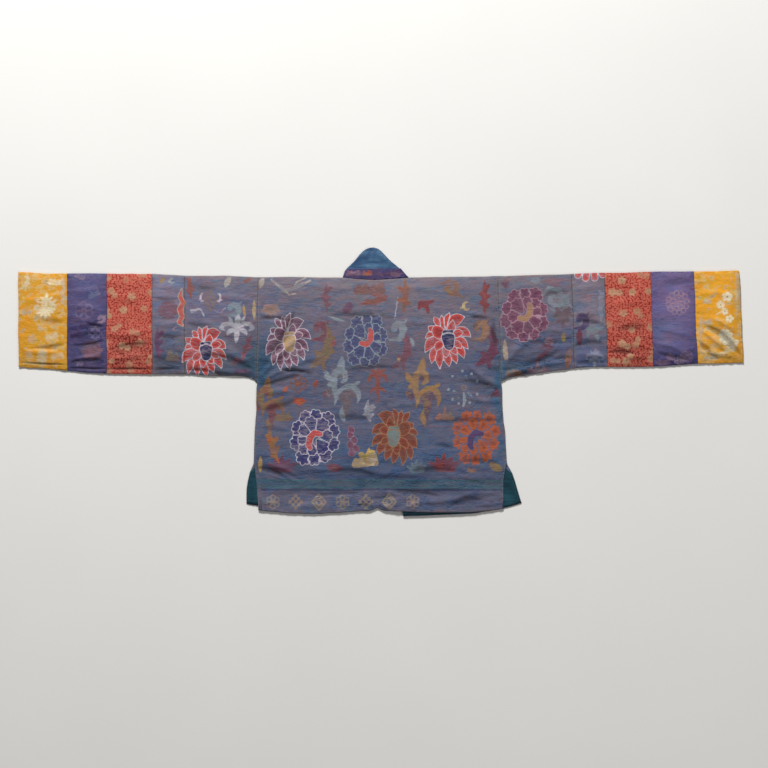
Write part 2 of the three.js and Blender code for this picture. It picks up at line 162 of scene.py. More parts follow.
class Nodes:
    """The nodes of one material or of one node group."""

    def __init__(self, tree):
        self.tree = tree
        self.place = None  # a material's place on the object

    def add(self, kind, inputs=(), **settings):
        """The first output of a new node; its inputs are given by number or by name."""
        node = self.tree.nodes.new(kind)
        for name, value in settings.items():
            setattr(node, name, value)
        pairs = inputs.items() if isinstance(inputs, dict) else enumerate(inputs)
        for key, value in pairs:
            if isinstance(value, Value):
                self.tree.links.new(value.node.outputs[value.which], node.inputs[key])
            else:
                node.inputs[key].default_value = value
        return Value(self, node)

    def math(self, operation, *values):
        return self.add("ShaderNodeMath", values, operation=operation)

    def mix(self, factor, a, b, blend="MIX"):
        """Two colours mixed by a factor."""
        inputs = {0: factor, 6: a, 7: b}
        return self.add("ShaderNodeMix", inputs, data_type="RGBA", blend_type=blend).out(2)

    def scaled(self, colour, shade):
        inputs = {0: colour, "Scale": shade}
        return self.add("ShaderNodeVectorMath", inputs, operation="SCALE")

    def step(self, value, low, high):
        """0 where a value is at low, 1 where it is at high."""
        inputs = {"Value": value, "From Min": low, "From Max": high}
        return self.add("ShaderNodeMapRange", inputs, interpolation_type="SMOOTHSTEP")

    def noise(self, per_metre, detail=2, rough=0.5, warp=0.0):
        """Noise from 0 to 1 whose grain is stretched by the numbers per metre along x, y and z."""
        scaled = self.add("ShaderNodeVectorMath", [self.place, per_metre], operation="MULTIPLY")
        inputs = {"Vector": scaled, "Scale": 1.0, "Detail": detail, "Roughness": rough, "Distortion": warp}
        return self.add("ShaderNodeTexNoise", inputs)

    def attribute(self, name, output="Color"):
        return self.add("ShaderNodeAttribute", attribute_name=name).out(output)


def new_material(name):
    """A material and its nodes, whose place is that on the object."""
    material = bpy.data.materials.new(name)
    material.use_nodes = True
    material.node_tree.nodes.clear()
    nodes = Nodes(material.node_tree)
    nodes.place = nodes.add("ShaderNodeTexCoord").out("Object")
    return material, nodes


def finish_material(nodes, colour, roughness, height, height_mm, constants):
    """The surface shader; height is from 0 to 1 and height_mm is what it stands for."""
    bump_inputs = {"Strength": 1.0, "Distance": height_mm * MM, "Height": height}
    bump = nodes.add("ShaderNodeBump", bump_inputs)
    inputs = {"Base Color": colour, "Roughness": roughness, "Normal": bump, **constants}
    shader = nodes.add("ShaderNodeBsdfPrincipled", inputs)
    nodes.add("ShaderNodeOutputMaterial", [shader])


def opaque(code):
    return (*linear(code), 1.0)


# ---------------- figured silk
LAYERS = ("leaf", "petal", "inner", "heart")  # the woven figures, from the lowest to the highest
EDGE = {"leaf": 1.3, "petal": 0.5, "inner": 0.5, "heart": 0.5}  # half the width of a figure's edge, in mm
FRAY = {"leaf": 6.5, "petal": 1.8, "inner": 1.8, "heart": 1.4}  # how far its threads fray, in mm
SILK_SHINE = {"Sheen Weight": 0.03, "Sheen Roughness": 0.35, "Specular IOR Level": 0.17}
WARP_STEP, WEFT_STEP = 0.9 * MM, 1.3 * MM  # the weave's ribs
# Tints that the wefts and the fading lay over the ground.
BLUE_WEFT, ROSY_WEFT = (0.54, 0.84, 1.06, 1), (1.14, 0.84, 0.78, 1)
COOL, WARM, DEEP_PETAL = (0.86, 1.06, 0.98, 1), (1.10, 0.95, 0.92, 1), (0.62, 0.58, 0.70, 1)


def woven_figures(nodes, ground, frayed, cover, patch, loose):
    """The ground with its four layers of figures over it, and where the figures are."""
    colour = ground
    figured = None
    for layer in LAYERS:
        reach = nodes.attribute(layer + "_reach", "Vector")
        parts = nodes.add("ShaderNodeSeparateXYZ", [reach])
        wobble = (frayed - 0.5) * FRAY[layer] * loose
        edge = EDGE[layer] * loose
        body = nodes.step(parts.out(0) + wobble, edge, -edge)
        inside = nodes.step(parts.out(1) + wobble * 0.6, edge, -edge)
        strength = parts.out(2) * cover
        line, fill = nodes.attribute(layer + "_line"), nodes.attribute(layer + "_fill")
        if layer == "leaf":
            strength = strength * (0.72 + nodes.step(patch, 0.40, 0.52) * 0.28)
            fill = nodes.mix(nodes.step(patch + (frayed - 0.5) * 0.4, 0.50, 0.60) * 0.7, fill, line)
        elif layer != "heart":
            deep = nodes.step(parts.out(1) + wobble, -2.5, -6.5)
            fill = nodes.mix(deep * 0.8, fill, DEEP_PETAL, "MULTIPLY")
        colour = nodes.mix(body * strength, colour, line)
        colour = nodes.mix(inside * strength, colour, fill)
        figured = body if figured is None else figured.math("MAXIMUM", body)
    return colour, figured


def figured_silk(name, roughness, threads, relief, loose=1.0, motif=None):
    """Silk with woven figures.

    threads is how strongly the ground's two other wefts show, relief the height of its small wrinkles,
    loose how softly its figures are edged and motif adds a small repeat to the ground.
    """
    material, nodes = new_material(name)
    thread = nodes.noise((700, 1100, 0), detail=1)
    frayed = nodes.noise((130, 620, 0), detail=2)
    long_streak = nodes.noise((13, 120, 0), detail=3, rough=0.62, warp=0.5)
    short_streak = nodes.noise((52, 230, 5), detail=3, rough=0.6, warp=0.2)
    patch = nodes.noise((24, 34, 9), detail=4, rough=0.6)
    ground = nodes.attribute("ground")
    mottle = nodes.noise((46, 70, 0), detail=4, rough=0.62)
    blue = nodes.step(long_streak * 0.3 + mottle * 0.3 + patch * 0.4, 0.45, 0.58)
    rosy = nodes.step(short_streak * 0.2 + mottle * 0.8, 0.48, 0.63)
    ground = nodes.mix(blue * threads, ground, BLUE_WEFT, "MULTIPLY")
    ground = nodes.mix(rosy * threads, ground, ROSY_WEFT, "MULTIPLY")
    if motif:
        ground = motif(nodes, ground)
    cover = 0.50 + nodes.step(short_streak * 0.4 + frayed * 0.25 + patch * 0.35, 0.36, 0.54) * 0.50
    colour, figured = woven_figures(nodes, ground, frayed, cover, patch, loose)
    tint = nodes.noise((32, 46, 6), detail=3, rough=0.6)
    colour = nodes.mix(nodes.step(tint, 0.54, 0.68) * threads, colour, COOL, "MULTIPLY")
    colour = nodes.mix(nodes.step(tint, 0.46, 0.32) * threads, colour, WARM, "MULTIPLY")
    ruffled = nodes.attribute("ruffled", "Fac")
    # fine crease lines: sunk in the bump, and darkened in the colour as painted shade
    crease_noise = nodes.noise((11, 48, 0), detail=2, rough=0.6, warp=1.6)
    fine_crease = nodes.step(abs(crease_noise - 0.5), 0.03, 0.0) * nodes.step(patch, 0.44, 0.58) * ruffled
    fleck = nodes.step(short_streak * 0.45 + thread * 0.55, 0.30, 0.47)
    shade = 0.29 + patch * 0.40 + mottle * 0.30 + short_streak * 0.14 + thread * 0.22
    shade = shade * (0.86 + fleck * 0.165)
    # painted shade: darker in the troughs of the creases and along the fine crease lines
    shade = shade * (1.0 - nodes.attribute("crease_shade", "Fac")) * (1.0 - fine_crease * 0.26)
    shaded = nodes.scaled(colour, shade)
    parts = nodes.add("ShaderNodeSeparateXYZ", [nodes.place])
    warp = (parts.out(0) * (2 * math.pi / WARP_STEP)).math("SINE")
    weft_rib = (parts.out(1) * (2 * math.pi / WEFT_STEP)).math("SINE")
    weave = warp * weft_rib * 0.03 + figured * 0.06 + thread * 0.06 - fine_crease * 0.5
    wrinkle = nodes.noise((32, 72, 0), detail=4, rough=0.62, warp=1.2)
    gloss = roughness + (patch - 0.5) * 0.25 - figured * 0.06
    finish_material(nodes, shaded, gloss, weave + wrinkle * relief, 2.4, SILK_SHINE)
    return material


def small_scroll(nodes, ground):
    """The red silk's dense repeat of small rings and curls in paler and darker threads."""
    bent = nodes.noise((90, 90, 0), detail=1)
    inputs = {"Vector": nodes.place, "Scale": 212.0, "Randomness": 0.9}
    cells = nodes.add("ShaderNodeTexVoronoi", inputs, feature="F1", voronoi_dimensions="2D")
    far = cells.out("Distance") + (bent - 0.5) * 0.3
    ring = nodes.step(abs(far - 0.33), 0.11, 0.05)
    dot = nodes.step(far, 0.12, 0.06)
    gap = nodes.step(far, 0.49, 0.60)
    broad = nodes.step(nodes.noise((16, 16, 0), detail=2), 0.40, 0.62)
    ground = nodes.mix(gap * (0.24 + broad * 0.46), ground, opaque("#641a16"))
    return nodes.mix(ring.math("MAXIMUM", dot) * (0.68 - broad * 0.2), ground, opaque("#dc957d"))


def pale_mottle(nodes, ground):
    """The yellow satin's worn silver and cream wefts, in small broken patches."""
    spots = nodes.noise((62, 74, 0), detail=3, rough=0.55, warp=0.3)
    broad = nodes.noise((15, 13, 0), detail=1)
    bars = nodes.noise((20, 420, 0), detail=2, rough=0.6)
    pale = nodes.step(spots * 0.6 + broad * 0.35 + bars * 0.05, 0.49, 0.57)
    grey = nodes.step(spots, 0.57, 0.68)
    ground = nodes.mix(pale * 0.5, ground, opaque("#dcbd84"))
    return nodes.mix(pale * grey * 0.55, ground, opaque("#a9a08c"))


def tone_on_tone(nodes, ground):
    """The purple damask's own pattern: broken curls a little paler and darker than its ground."""
    spots = nodes.noise((70, 84, 0), detail=3, rough=0.6, warp=1.2)
    line = nodes.step(abs(spots - 0.5), 0.035, 0.0)
    broad = nodes.noise((20, 24, 0), detail=2)
    ground = nodes.mix(nodes.step(broad, 0.42, 0.62) * line * 0.4, ground, opaque("#75698f"))
    return nodes.mix(nodes.step(broad, 0.52, 0.38) * line * 0.5, ground, opaque("#2c2850"))


def plain_silk(name, code, other, roughness):
    """The blue-green lining, a plain changeable silk."""
    material, nodes = new_material(name)
    streak = nodes.noise((18, 260, 0), detail=3, rough=0.6)
    cloudy = nodes.noise((24, 24, 0), detail=4, rough=0.6)
    thread = nodes.noise((900, 1500, 0), detail=1)
    colour = nodes.mix(nodes.step(streak * 0.5 + cloudy * 0.5, 0.38, 0.66), opaque(code), opaque(other))
    shade = 0.82 + cloudy * 0.26 + thread * 0.12
    shaded = nodes.scaled(colour, shade)
    wrinkle = nodes.noise((40, 90, 0), detail=3, rough=0.55, warp=0.6)
    gloss = roughness + (cloudy - 0.5) * 0.2
    finish_material(nodes, shaded, gloss, wrinkle + thread * 0.12, 0.8, SILK_SHINE)
    return material


def thread_material():
    """Sewing thread, twisted."""
    material, nodes = new_material("sewing_thread")
    twist = nodes.noise((2600, 2600, 2600), detail=1)
    colour = nodes.mix(twist, opaque("#4b4458"), opaque("#8a8394"))
    finish_material(nodes, colour, 0.7 + twist * 0.1, twist, 0.1, {})
    return material


def floor_material():
    material, nodes = new_material("pale_floor")
    grain = nodes.noise((3, 3, 3), detail=3)
    colour = nodes.mix(grain, opaque("#d9d7d3"), opaque("#dedcd8"))
    finish_material(nodes, colour, 0.9 + grain * 0.05, grain, 0.05, {"Specular IOR Level": 0.1})
    return material


# ---------------- strokes and figures
def stroke(rows):
    """A stroke through points; each row is x, y and the stroke's half width there."""
    rows = np.array(table(rows) if isinstance(rows, str) else rows, float)
    return rows[:, :2], rows[:, 2]


def arc(centre, radius, start, end, widths):
    """A stroke along an arc; angles in degrees, radius a number or (at the start, at the end)."""
    turn = np.radians(np.linspace(start, end, len(widths)))
    first, last = radius if isinstance(radius, tuple) else (radius, radius)
    size = np.linspace(first, last, len(widths))
    points = np.stack([centre[0] + size * np.cos(turn), centre[1] + size * np.sin(turn)], 1)
    return points, np.array(widths, float)


def circle(centre, radius, half, steps=9):
    """A ring; half is half the width of its line."""
    return arc(centre, radius, 0, 360, [half] * steps)


def leaf(base, tip, width, bend=0.0, taper=0.8, steps=9):
    """A pointed leaf or petal from base to tip; taper is how finely it comes to its point."""
    base, tip = np.array(base, float), np.array(tip, float)
    t = np.linspace(0, 1, steps)
    side = np.array([-(tip - base)[1], (tip - base)[0]])
    points = base + np.outer(t, tip - base) + np.outer(bend * np.sin(np.pi * t), side)
    return points, width * np.sin(np.pi * np.clip(t * 0.93 + 0.05, 0, 1)) ** taper


def leaves(text):
    """Leaves from rows of base, tip, half width and bend."""
    return [leaf((x0, y0), (x1, y1), *rest) for x0, y0, x1, y1, *rest in table(text)]


def ring_of(count, first=0.0, uneven=0.0, seed=0):
    """Angles round a heart, in degrees, a little uneven."""
    random = np.random.default_rng(seed)
    return [first + 360 * (i + uneven * random.uniform(-1, 1)) / count for i in range(count)]


def toward(angle, length, origin=(0.0, 0.0)):
    """The point at an angle in degrees and a distance from an origin."""
    turn = math.radians(angle)
    return (origin[0] + length * math.cos(turn), origin[1] + length * math.sin(turn))


def petals(angles, start, end, half_start, half_end):
    """Blunt petals round a heart."""
    return [stroke([(*toward(a, start), half_start), (*toward(a, end), half_end)]) for a in angles]


def spot(half, length=0.02):
    """A round dot in the middle, or a short bar."""
    return stroke([(0, 0, half), (length, 0, half)])


def part(layer, ink, line_width, *strokes):
    """One part of a figure; a stroke may be the text of its rows."""
    return [(layer, ink, line_width, [stroke(s) if isinstance(s, str) else s for s in strokes])]


def leafy(line_width, *strokes):
    """A part of the first colour on the lowest layer."""
    return part("leaf", "fill", line_width, *strokes)


# Each figure is drawn in a box from -1 to 1, as parts: layer, colour, line width in mm and strokes.
# A lotus' petals: base, tip, half width and bend, for the outer and then the inner ones.
LOTUS_OUTER = table("""
-0.12 0.35 -0.26 0.94 0.11 0, -0.02 0.35 0.12 1.02 0.12 0.12, 0.05 0.3 0.78 0.8 0.21 0.18
0.3 0.25 1.04 0.1 0.16 0.18, 0.3 0 0.98 -0.34 0.13 0.16, 0.3 -0.2 0.76 -0.68 0.13 0.14
0.1 -0.3 0.42 -0.86 0.13 0.05, -0.08 -0.35 0.1 -1.02 0.13 0, -0.25 -0.1 -0.32 -1.04 0.15 -0.08
-0.35 -0.2 -0.74 -0.9 0.14 -0.1, -0.2 0.05 -1 -0.46 0.2 -0.15, -0.4 0.2 -0.98 0.06 0.12 -0.1
-0.35 0.35 -0.86 0.5 0.13 0.12, -0.3 0.5 -0.58 0.84 0.1 0
""")
LOTUS_INNER = table("""
-0.1 0.15 -0.56 0.5 0.21 0.12, 0.05 0.2 0.25 0.68 0.13 -0.1, 0.25 0.1 0.74 0.26 0.13 0.12
0.22 -0.1 0.64 -0.3 0.11 0.12, 0.12 -0.2 0.4 -0.54 0.11 0.05, -0.08 -0.2 -0.06 -0.68 0.12 0
-0.15 -0.1 -0.54 -0.44 0.13 -0.12
""")


def lotus(seed):
    """A lotus with its petals sweeping out and down from a tapered heart."""
    random = np.random.default_rng(seed)
    parts = leafy(0.0, "-0.06 0.1 0.3, 0.1 -0.1 0.3")
    for layer, rows in (("petal", LOTUS_OUTER), ("inner", LOTUS_INNER)):
        for x0, y0, x1, y1, wide, bend in rows:
            grow = random.uniform(0.93, 1.04)
            petal = leaf((x0, y0), (x1 * grow, y1 * grow), 1.15 * wide, bend, 1.35)
            parts += part(layer, "fill", 1.6, petal)
    parts += part("heart", "accent", 2.0, "0.08 -0.2 0.2, 0.06 0.08 0.27")
    return parts + part("heart", "accent", 0.9, "-0.1 0.27 0.09, 0.2 0.29 0.09")


# A peony's petals: middle, half size and the side they open to, for the outer and then the inner ones.
PEONY_OUTER = table("""
0.46 0.64 0.32 55, 0.08 0.66 0.3 95, -0.3 0.56 0.32 125, -0.6 0.2 0.32 160, -0.64 -0.2 0.32 195
-0.42 -0.58 0.34 235, 0 -0.7 0.3 268, 0.38 -0.66 0.3 300, 0.68 -0.3 0.32 338, 0.7 0.16 0.3 12
""")
PEONY_INNER = table("""
-0.2 0.28 0.3 130, 0.16 0.4 0.24 88, 0.46 0.36 0.24 45, -0.36 -0.06 0.26 185, -0.2 -0.38 0.3 235
0.18 -0.44 0.28 285, 0.44 -0.22 0.27 335, 0.5 0.08 0.22 5
""")
PETAL_LOBES = ((-58, 0.78), (-19, 0.86), (19, 0.86), (58, 0.78))  # lean in degrees and reach


def peony(seed):
    """A peony of scalloped petals round a curved heart."""
    random = np.random.default_rng(seed)
    parts = leafy(0.0, circle((0, 0), 0.42, 0.24, 13))
    for layer, rows in (("petal", PEONY_OUTER), ("inner", PEONY_INNER)):
        for x, y, size, side in rows:
            size *= random.uniform(0.92, 1.1)
            foot = toward(side + 180, size * 0.75, (x, y))
            ends = [(toward(side + lean, size * reach, (x, y)), 0.12, 0.25) for lean, reach in PETAL_LOBES]
            ends.append((toward(side, size * 0.4, (x, y)), 0.15, 0.5))
            lobes = [stroke([(*foot, size * narrow), (*end, size * wide)]) for end, narrow, wide in ends]
            parts += part(layer, "fill", 1.6, *lobes)
    heart = "-0.16 -0.13 0.1, 0.08 -0.17 0.11, 0.26 0 0.12, 0.3 0.28 0.11, 0.24 0.38 0.08"
    return parts + part("heart", "accent", 1.5, heart)


def cloud(seed):
    random = np.random.default_rng(seed)
    puffs = [stroke("-0.7 -0.25 0.28, 0.7 -0.25 0.28")]
    for x in (-0.65, -0.2, 0.3, 0.7):
        y = random.uniform(0.05, 0.55)
        puffs.append(stroke([(x, -0.2, 0.2), (x * 0.9, y, random.uniform(0.2, 0.32))]))
    eye = arc((0.1, 0.05), (0.3, 0.1), 0, 300, [0.05] * 7)
    return leafy(0.9, *puffs) + part("petal", "accent", 0.0, eye)


def starburst(seed):
    rays = [leaf(toward(a, 0.25), toward(a, 0.72), 0.08) for a in ring_of(9, 0, 0.1, seed)]
    dots = petals(ring_of(9, 20, 0.2, seed + 2), 0.9, 0.93, 0.09, 0.06)
    outer = part("petal", "line", 0.0, *dots, "0 -0.3 0.06, 0.08 -0.7 0.1, 0 -1 0.05")
    return leafy(0.0, *rays) + outer + part("petal", "accent", 0.8, spot(0.16))


def star_leaf(seed):
    """A spiky leaf, no two alike."""
    random = np.random.default_rng(seed + 40)
    lean = random.uniform(-0.22, 0.22)
    spikes = [leaf((lean, -1.0), (-lean, 1.0), 0.26, lean)]
    side = random.choice((-1, 1))
    for y in (-0.5, -0.3, 0.0, 0.18, 0.45):
        side = -side
        tip = (side * random.uniform(0.55, 1.0), y + random.uniform(-0.15, 0.4))
        spikes.append(leaf((-lean * y, y - 0.15), tip, random.uniform(0.14, 0.24), side * 0.1))
    return leafy(0.6, *spikes)


def round_blossom(seed):
    blossom = leafy(0.6, *petals(ring_of(5, 15 * seed), 0.3, 0.58, 0.3, 0.36))
    return blossom + part("petal", "accent", 0.0, spot(0.2))


def medallion(seed):
    """A wreath of small flowers."""
    rings = [circle(toward(a, 0.74), 0.19, 0.04) for a in ring_of(12, 10, 0.06, seed)]
    rings += [arc(toward(a, 0.38), 0.15, 0, 300, [0.035] * 7) for a in ring_of(7)]
    return leafy(0.0, *rings, circle((0, 0), 0.1, 0.04, 8))


def full_medallion(seed):
    wreath = petals(ring_of(8, 0, 0.05, seed), 0.45, 0.72, 0.24, 0.26)
    spiral = arc((0, 0), (0.5, 0.12), 0, 420, [0.05] * 10)
    return leafy(0.7, *wreath, spot(0.45, 0.1)) + part("petal", "line", 0.0, spiral)


def sceptre_arm(side):
    """A curl and two leaves."""
    yield arc((side * 0.42, 0.15), 0.4, 90 - side * 80, 90 + side * 100, [0.12, 0.14, 0.12, 0.1, 0.05])
    yield leaf((0, -0.2), (side * 0.7, -0.55), 0.12, side * 0.1)
    yield leaf((0, 0.5), (side * 0.75, 0.85), 0.12, side * 0.1)


def scroll_arm(side):
    """A bow and two leaves."""
    bow = table("0.08 0.1 0.1, 0.42 0.34 0.13, 0.82 0.26 0.12, 0.98 0 0.1, 0.76 -0.14 0.03")
    yield stroke([(side * x, y, half) for x, y, half in bow])
    yield leaf((side * 0.08, -0.05), (side * 0.62, -0.45), 0.13, side * 0.15)
    yield leaf((side * 0.3, 0.3), (side * 0.5, 0.78), 0.08, side * 0.1)


def slant_bar(shift, side):
    start = (side * (shift - 0.5), -shift - 0.5, 0.09)
    return stroke([start, (side * (shift + 0.5), -shift + 0.5, 0.09)])


# The angle and length of a flame's blades, the middles of grapes and of a flower's lower lobes.
BLADES = table("90 1.2, 125 1.02, 55 1.02, 160 1.14, 20 1.14")
GRAPES = table("-0.3 -0.75, 0.35 -0.5, -0.35 -0.2, 0.3 0.1, -0.1 0.45, 0.15 0.8")
SCALLOPS = table("-0.75 -0.35, -0.25 -0.72, 0.3 -0.72, 0.8 -0.3")

FIGURES = {
    # a thick comma that curls back on itself
    "curl": leafy(0.9,
        arc((-0.05, 0.1), (0.82, 0.4), -115, 175, [0.12, 0.24, 0.32, 0.35, 0.32, 0.29, 0.26, 0.2]),
        "-0.35 -0.62 0.14, -0.75 -0.7 0.08, -1 -0.6 0.03",
        "0.55 0.55 0.14, 0.95 1 0.03",
    )
    + leafy(0.6, "-0.4 0.22 0.28, -0.34 0.16 0.24"),
    # a broad leaf with a lobed edge, sweeping down to one side
    "long_leaf": leafy(0.6,
        """0.28 1 0.04, 0.42 0.6 0.2, 0.48 0.2 0.24, 0.42 -0.12 0.32, 0.05 -0.42 0.3
        -0.5 -0.66 0.2, -1.05 -0.85 0.03""",
        *leaves("0.4 0.15 0.98 0.42 0.17, 0.3 -0.15 0.95 -0.2 0.17, 0 -0.4 0.15 -1 0.14"),
        *leaves("0.4 0.45 -0.15 0.62 0.13, -0.1 -0.4 -0.6 -0.15 0.14"),
    ),
    # a flame that curls round an eye, and an arch below it with another colour under it
    "arch_leaf": leafy(0.9,
        *leaves("-0.3 0.4 0.04 1 0.17 -0.12"),
        "-0.42 0.2 0.14, -0.36 0.48 0.14, -0.1 0.6 0.12, 0.18 0.5 0.12, 0.2 0.3 0.1, 0 0.2 0.05",
        "-0.45 0.26 0.12, -0.8 0.38 0.13",
        "-0.45 0.14 0.1, -0.68 0.12 0.1",
        *leaves("-0.6 0.34 -1 0.56 0.08"),
        "-0.42 0.2 0.13, -0.38 -0.05 0.11, -0.28 -0.28 0.08, -0.38 -0.5 0.02",
        """-0.3 -0.25 0.06, -0.1 -0.06 0.09, 0.22 0.06 0.1, 0.56 0.08 0.12, 0.86 -0.08 0.12
        0.95 -0.28 0.08, 0.84 -0.46 0.02""",
        *leaves("0.6 0.1 1 0.22 0.07, 0.04 -0.6 0.16 -1.04 0.12 -0.15"),
    )
    + part("leaf", "accent", 0.0,
        "-0.02 -0.3 0.1, 0.2 -0.14 0.13, 0.48 -0.12 0.13, 0.68 -0.26 0.06",
        "0.2 -0.2 0.2, 0.28 -0.5 0.19, 0.2 -0.72 0.12, 0.34 -0.9 0.02",
        "-0.76 -0.1 0.16, -0.62 -0.22 0.12",
        "-0.12 0.4 0.09, -0.04 0.36 0.08",
    ),
    "flame": leafy(0.7,
        *(leaf((0, -0.55), toward(angle, length, (0, -0.45)), 0.2, 0.06) for angle, length in BLADES),
        "-0.55 -0.6 0.25, 0.55 -0.6 0.25",
    ),
    "rosette": leafy(0.0, *(circle(toward(a, 0.52), 0.32, 0.07) for a in ring_of(6, 30)))
    + part("petal", "accent", 0.6, spot(0.2)),
    "sceptre": leafy(0.5,
        "0 -1 0.08, 0 -0.3 0.14, 0 0.4 0.2, 0 1 0.06", *sceptre_arm(-1), *sceptre_arm(1)
    ),
    "mountain": leafy(0.5,
        "-0.8 -0.7 0.25, 0.8 -0.7 0.25",
        "-0.55 -0.6 0.38, -0.55 -0.1 0.06",
        "0 -0.6 0.38, 0 0.7 0.06",
        "0.55 -0.6 0.38, 0.55 0.1 0.06",
    ),
    "grapes": [
        ("petal", "fill", 0.9, [stroke([(x, y, 0.34), (x * 0.8, y + 0.12, 0.26)])]) for x, y in GRAPES
    ],
    "ribbon": leafy(1.1,
        "-1 0.75 0.04, -0.65 0.2 0.06, -0.3 -0.35 0.09, 0.1 -0.1 0.07, 0.5 0.25 0.08, 1 0.7 0.04"
    )
    + part("leaf", "line", 0.0,
        "-0.3 -0.3 0.05, -0.1 -0.75 0.04, 0.25 -0.6 0.05",
        "0.15 0.1 0.04, 0.3 0.55 0.04, 0.75 0.95 0.05",
    ),
    # a lobed scrap of leaf with an arm and a foot
    "key_shape": leafy(0.5,
        "-0.5 0.3 0.34, -0.1 0.2 0.42, 0.2 0.35 0.3",
        *leaves("0.1 0.4 1 0.7 0.2 -0.1, -0.1 0.1 0.35 -1 0.24 0.1, -0.4 0.2 -0.7 -0.5 0.2 -0.1"),
    ),
    "swirl": leafy(0.5,
        arc((-0.1, 0.1), (0.85, 0.15), 160, -290, [0.05, 0.12, 0.17, 0.2, 0.2, 0.18, 0.15, 0.12]),
        "0 -0.55 0.16, 0.5 -0.5 0.14, 0.95 -0.85 0.04",
    ),
    "hook": leafy(0.5,
        arc((0.1, 0.1), 0.55, 70, 320, [0.05, 0.12, 0.17, 0.18, 0.15, 0.1, 0.06]),
        "-0.9 -0.25 0.08, -0.3 -0.1 0.12",
    ),
    "blob": leafy(0.5, "-0.25 -0.3 0.6, 0.2 0.35 0.5"),
    "slip": leafy(0.5, *leaves("0 -1 0 1 0.75 0.1")),
    "scroll_work": leafy(0.8,
        *scroll_arm(-1), *scroll_arm(1), *leaves("0 0.25 -0.05 -1 0.16, 0 0.1 0.1 0.95 0.18")
    ),
    "wavy_edge": part("petal", "fill", 1.8,
        """0 1 0.05, -0.4 0.6 0.28, 0.2 0.25 0.3, -0.5 -0.1 0.4, 0 -0.5 0.35
        -0.6 -0.8 0.3, 0.4 -1 0.05""",
    ),
    "oval": leafy(0.5,
        "-0.45 -0.7 0.12, 0.45 -0.62 0.16",
        "-0.75 -0.35 0.12, 0.75 -0.27 0.16",
        "-0.88 0 0.12, 0.88 0.08 0.16",
        "-0.78 0.35 0.12, 0.78 0.43 0.16",
        "-0.5 0.7 0.12, 0.5 0.78 0.16",
    ),
    # the lower edge of a flower that the shoulder fold cuts
    "scalloped": [("petal", "fill", 1.8, [stroke([(x * 0.6, 0.9, 0.2), (x, y, 0.3)])]) for x, y in SCALLOPS],
    "lozenge": part("petal", "fill", 0.0,
        "0 -0.95 0.12, 0.85 0 0.12, 0 0.95 0.12, -0.85 0 0.12, 0 -0.95 0.12",
        "0 -0.45 0.11, 0.4 0 0.11, 0 0.45 0.11, -0.4 0 0.11, 0 -0.45 0.11",
    ),
    "lattice": part("petal", "fill", 0.0, *(slant_bar(f, s) for f in (-0.36, 0.0, 0.36) for s in (-1, 1))),
}
# These differ from one figure to the next, by its number in its table.
UNEVEN = (lotus, peony, cloud, starburst, star_leaf, round_blossom, medallion, full_medallion)
FIGURES.update({figure.__name__: figure for figure in UNEVEN})

# ---------------- tables of the woven pattern
# Thread colours.
DYE = dict(table("""
red #bf4640, brick #92443a, maroon #6b3a48, rose #84565f, mauve #6f3f58, navy #3c3c6c, violet #553f68
ochre #8a7048, gold #a88850, peach #a07a5a, rust #8a5442, orange #b25a30, cream #b5a898, white #c4bac4
silver #8f989f, grey #767d8b, pink #a58390, lilac #8a7f9c, slate #5c6684, brown #6c5152, sea #6c8386
indigo #35345a, amber #b57040, straw #c4a45c, ink #242145, deep #2b2d56, clay #84392f, blossom #a9805f
snow #f2e4c6, sign #93847a, pearl #e6d8b4, mist #c3bda4, shell #c69a7a
"""))

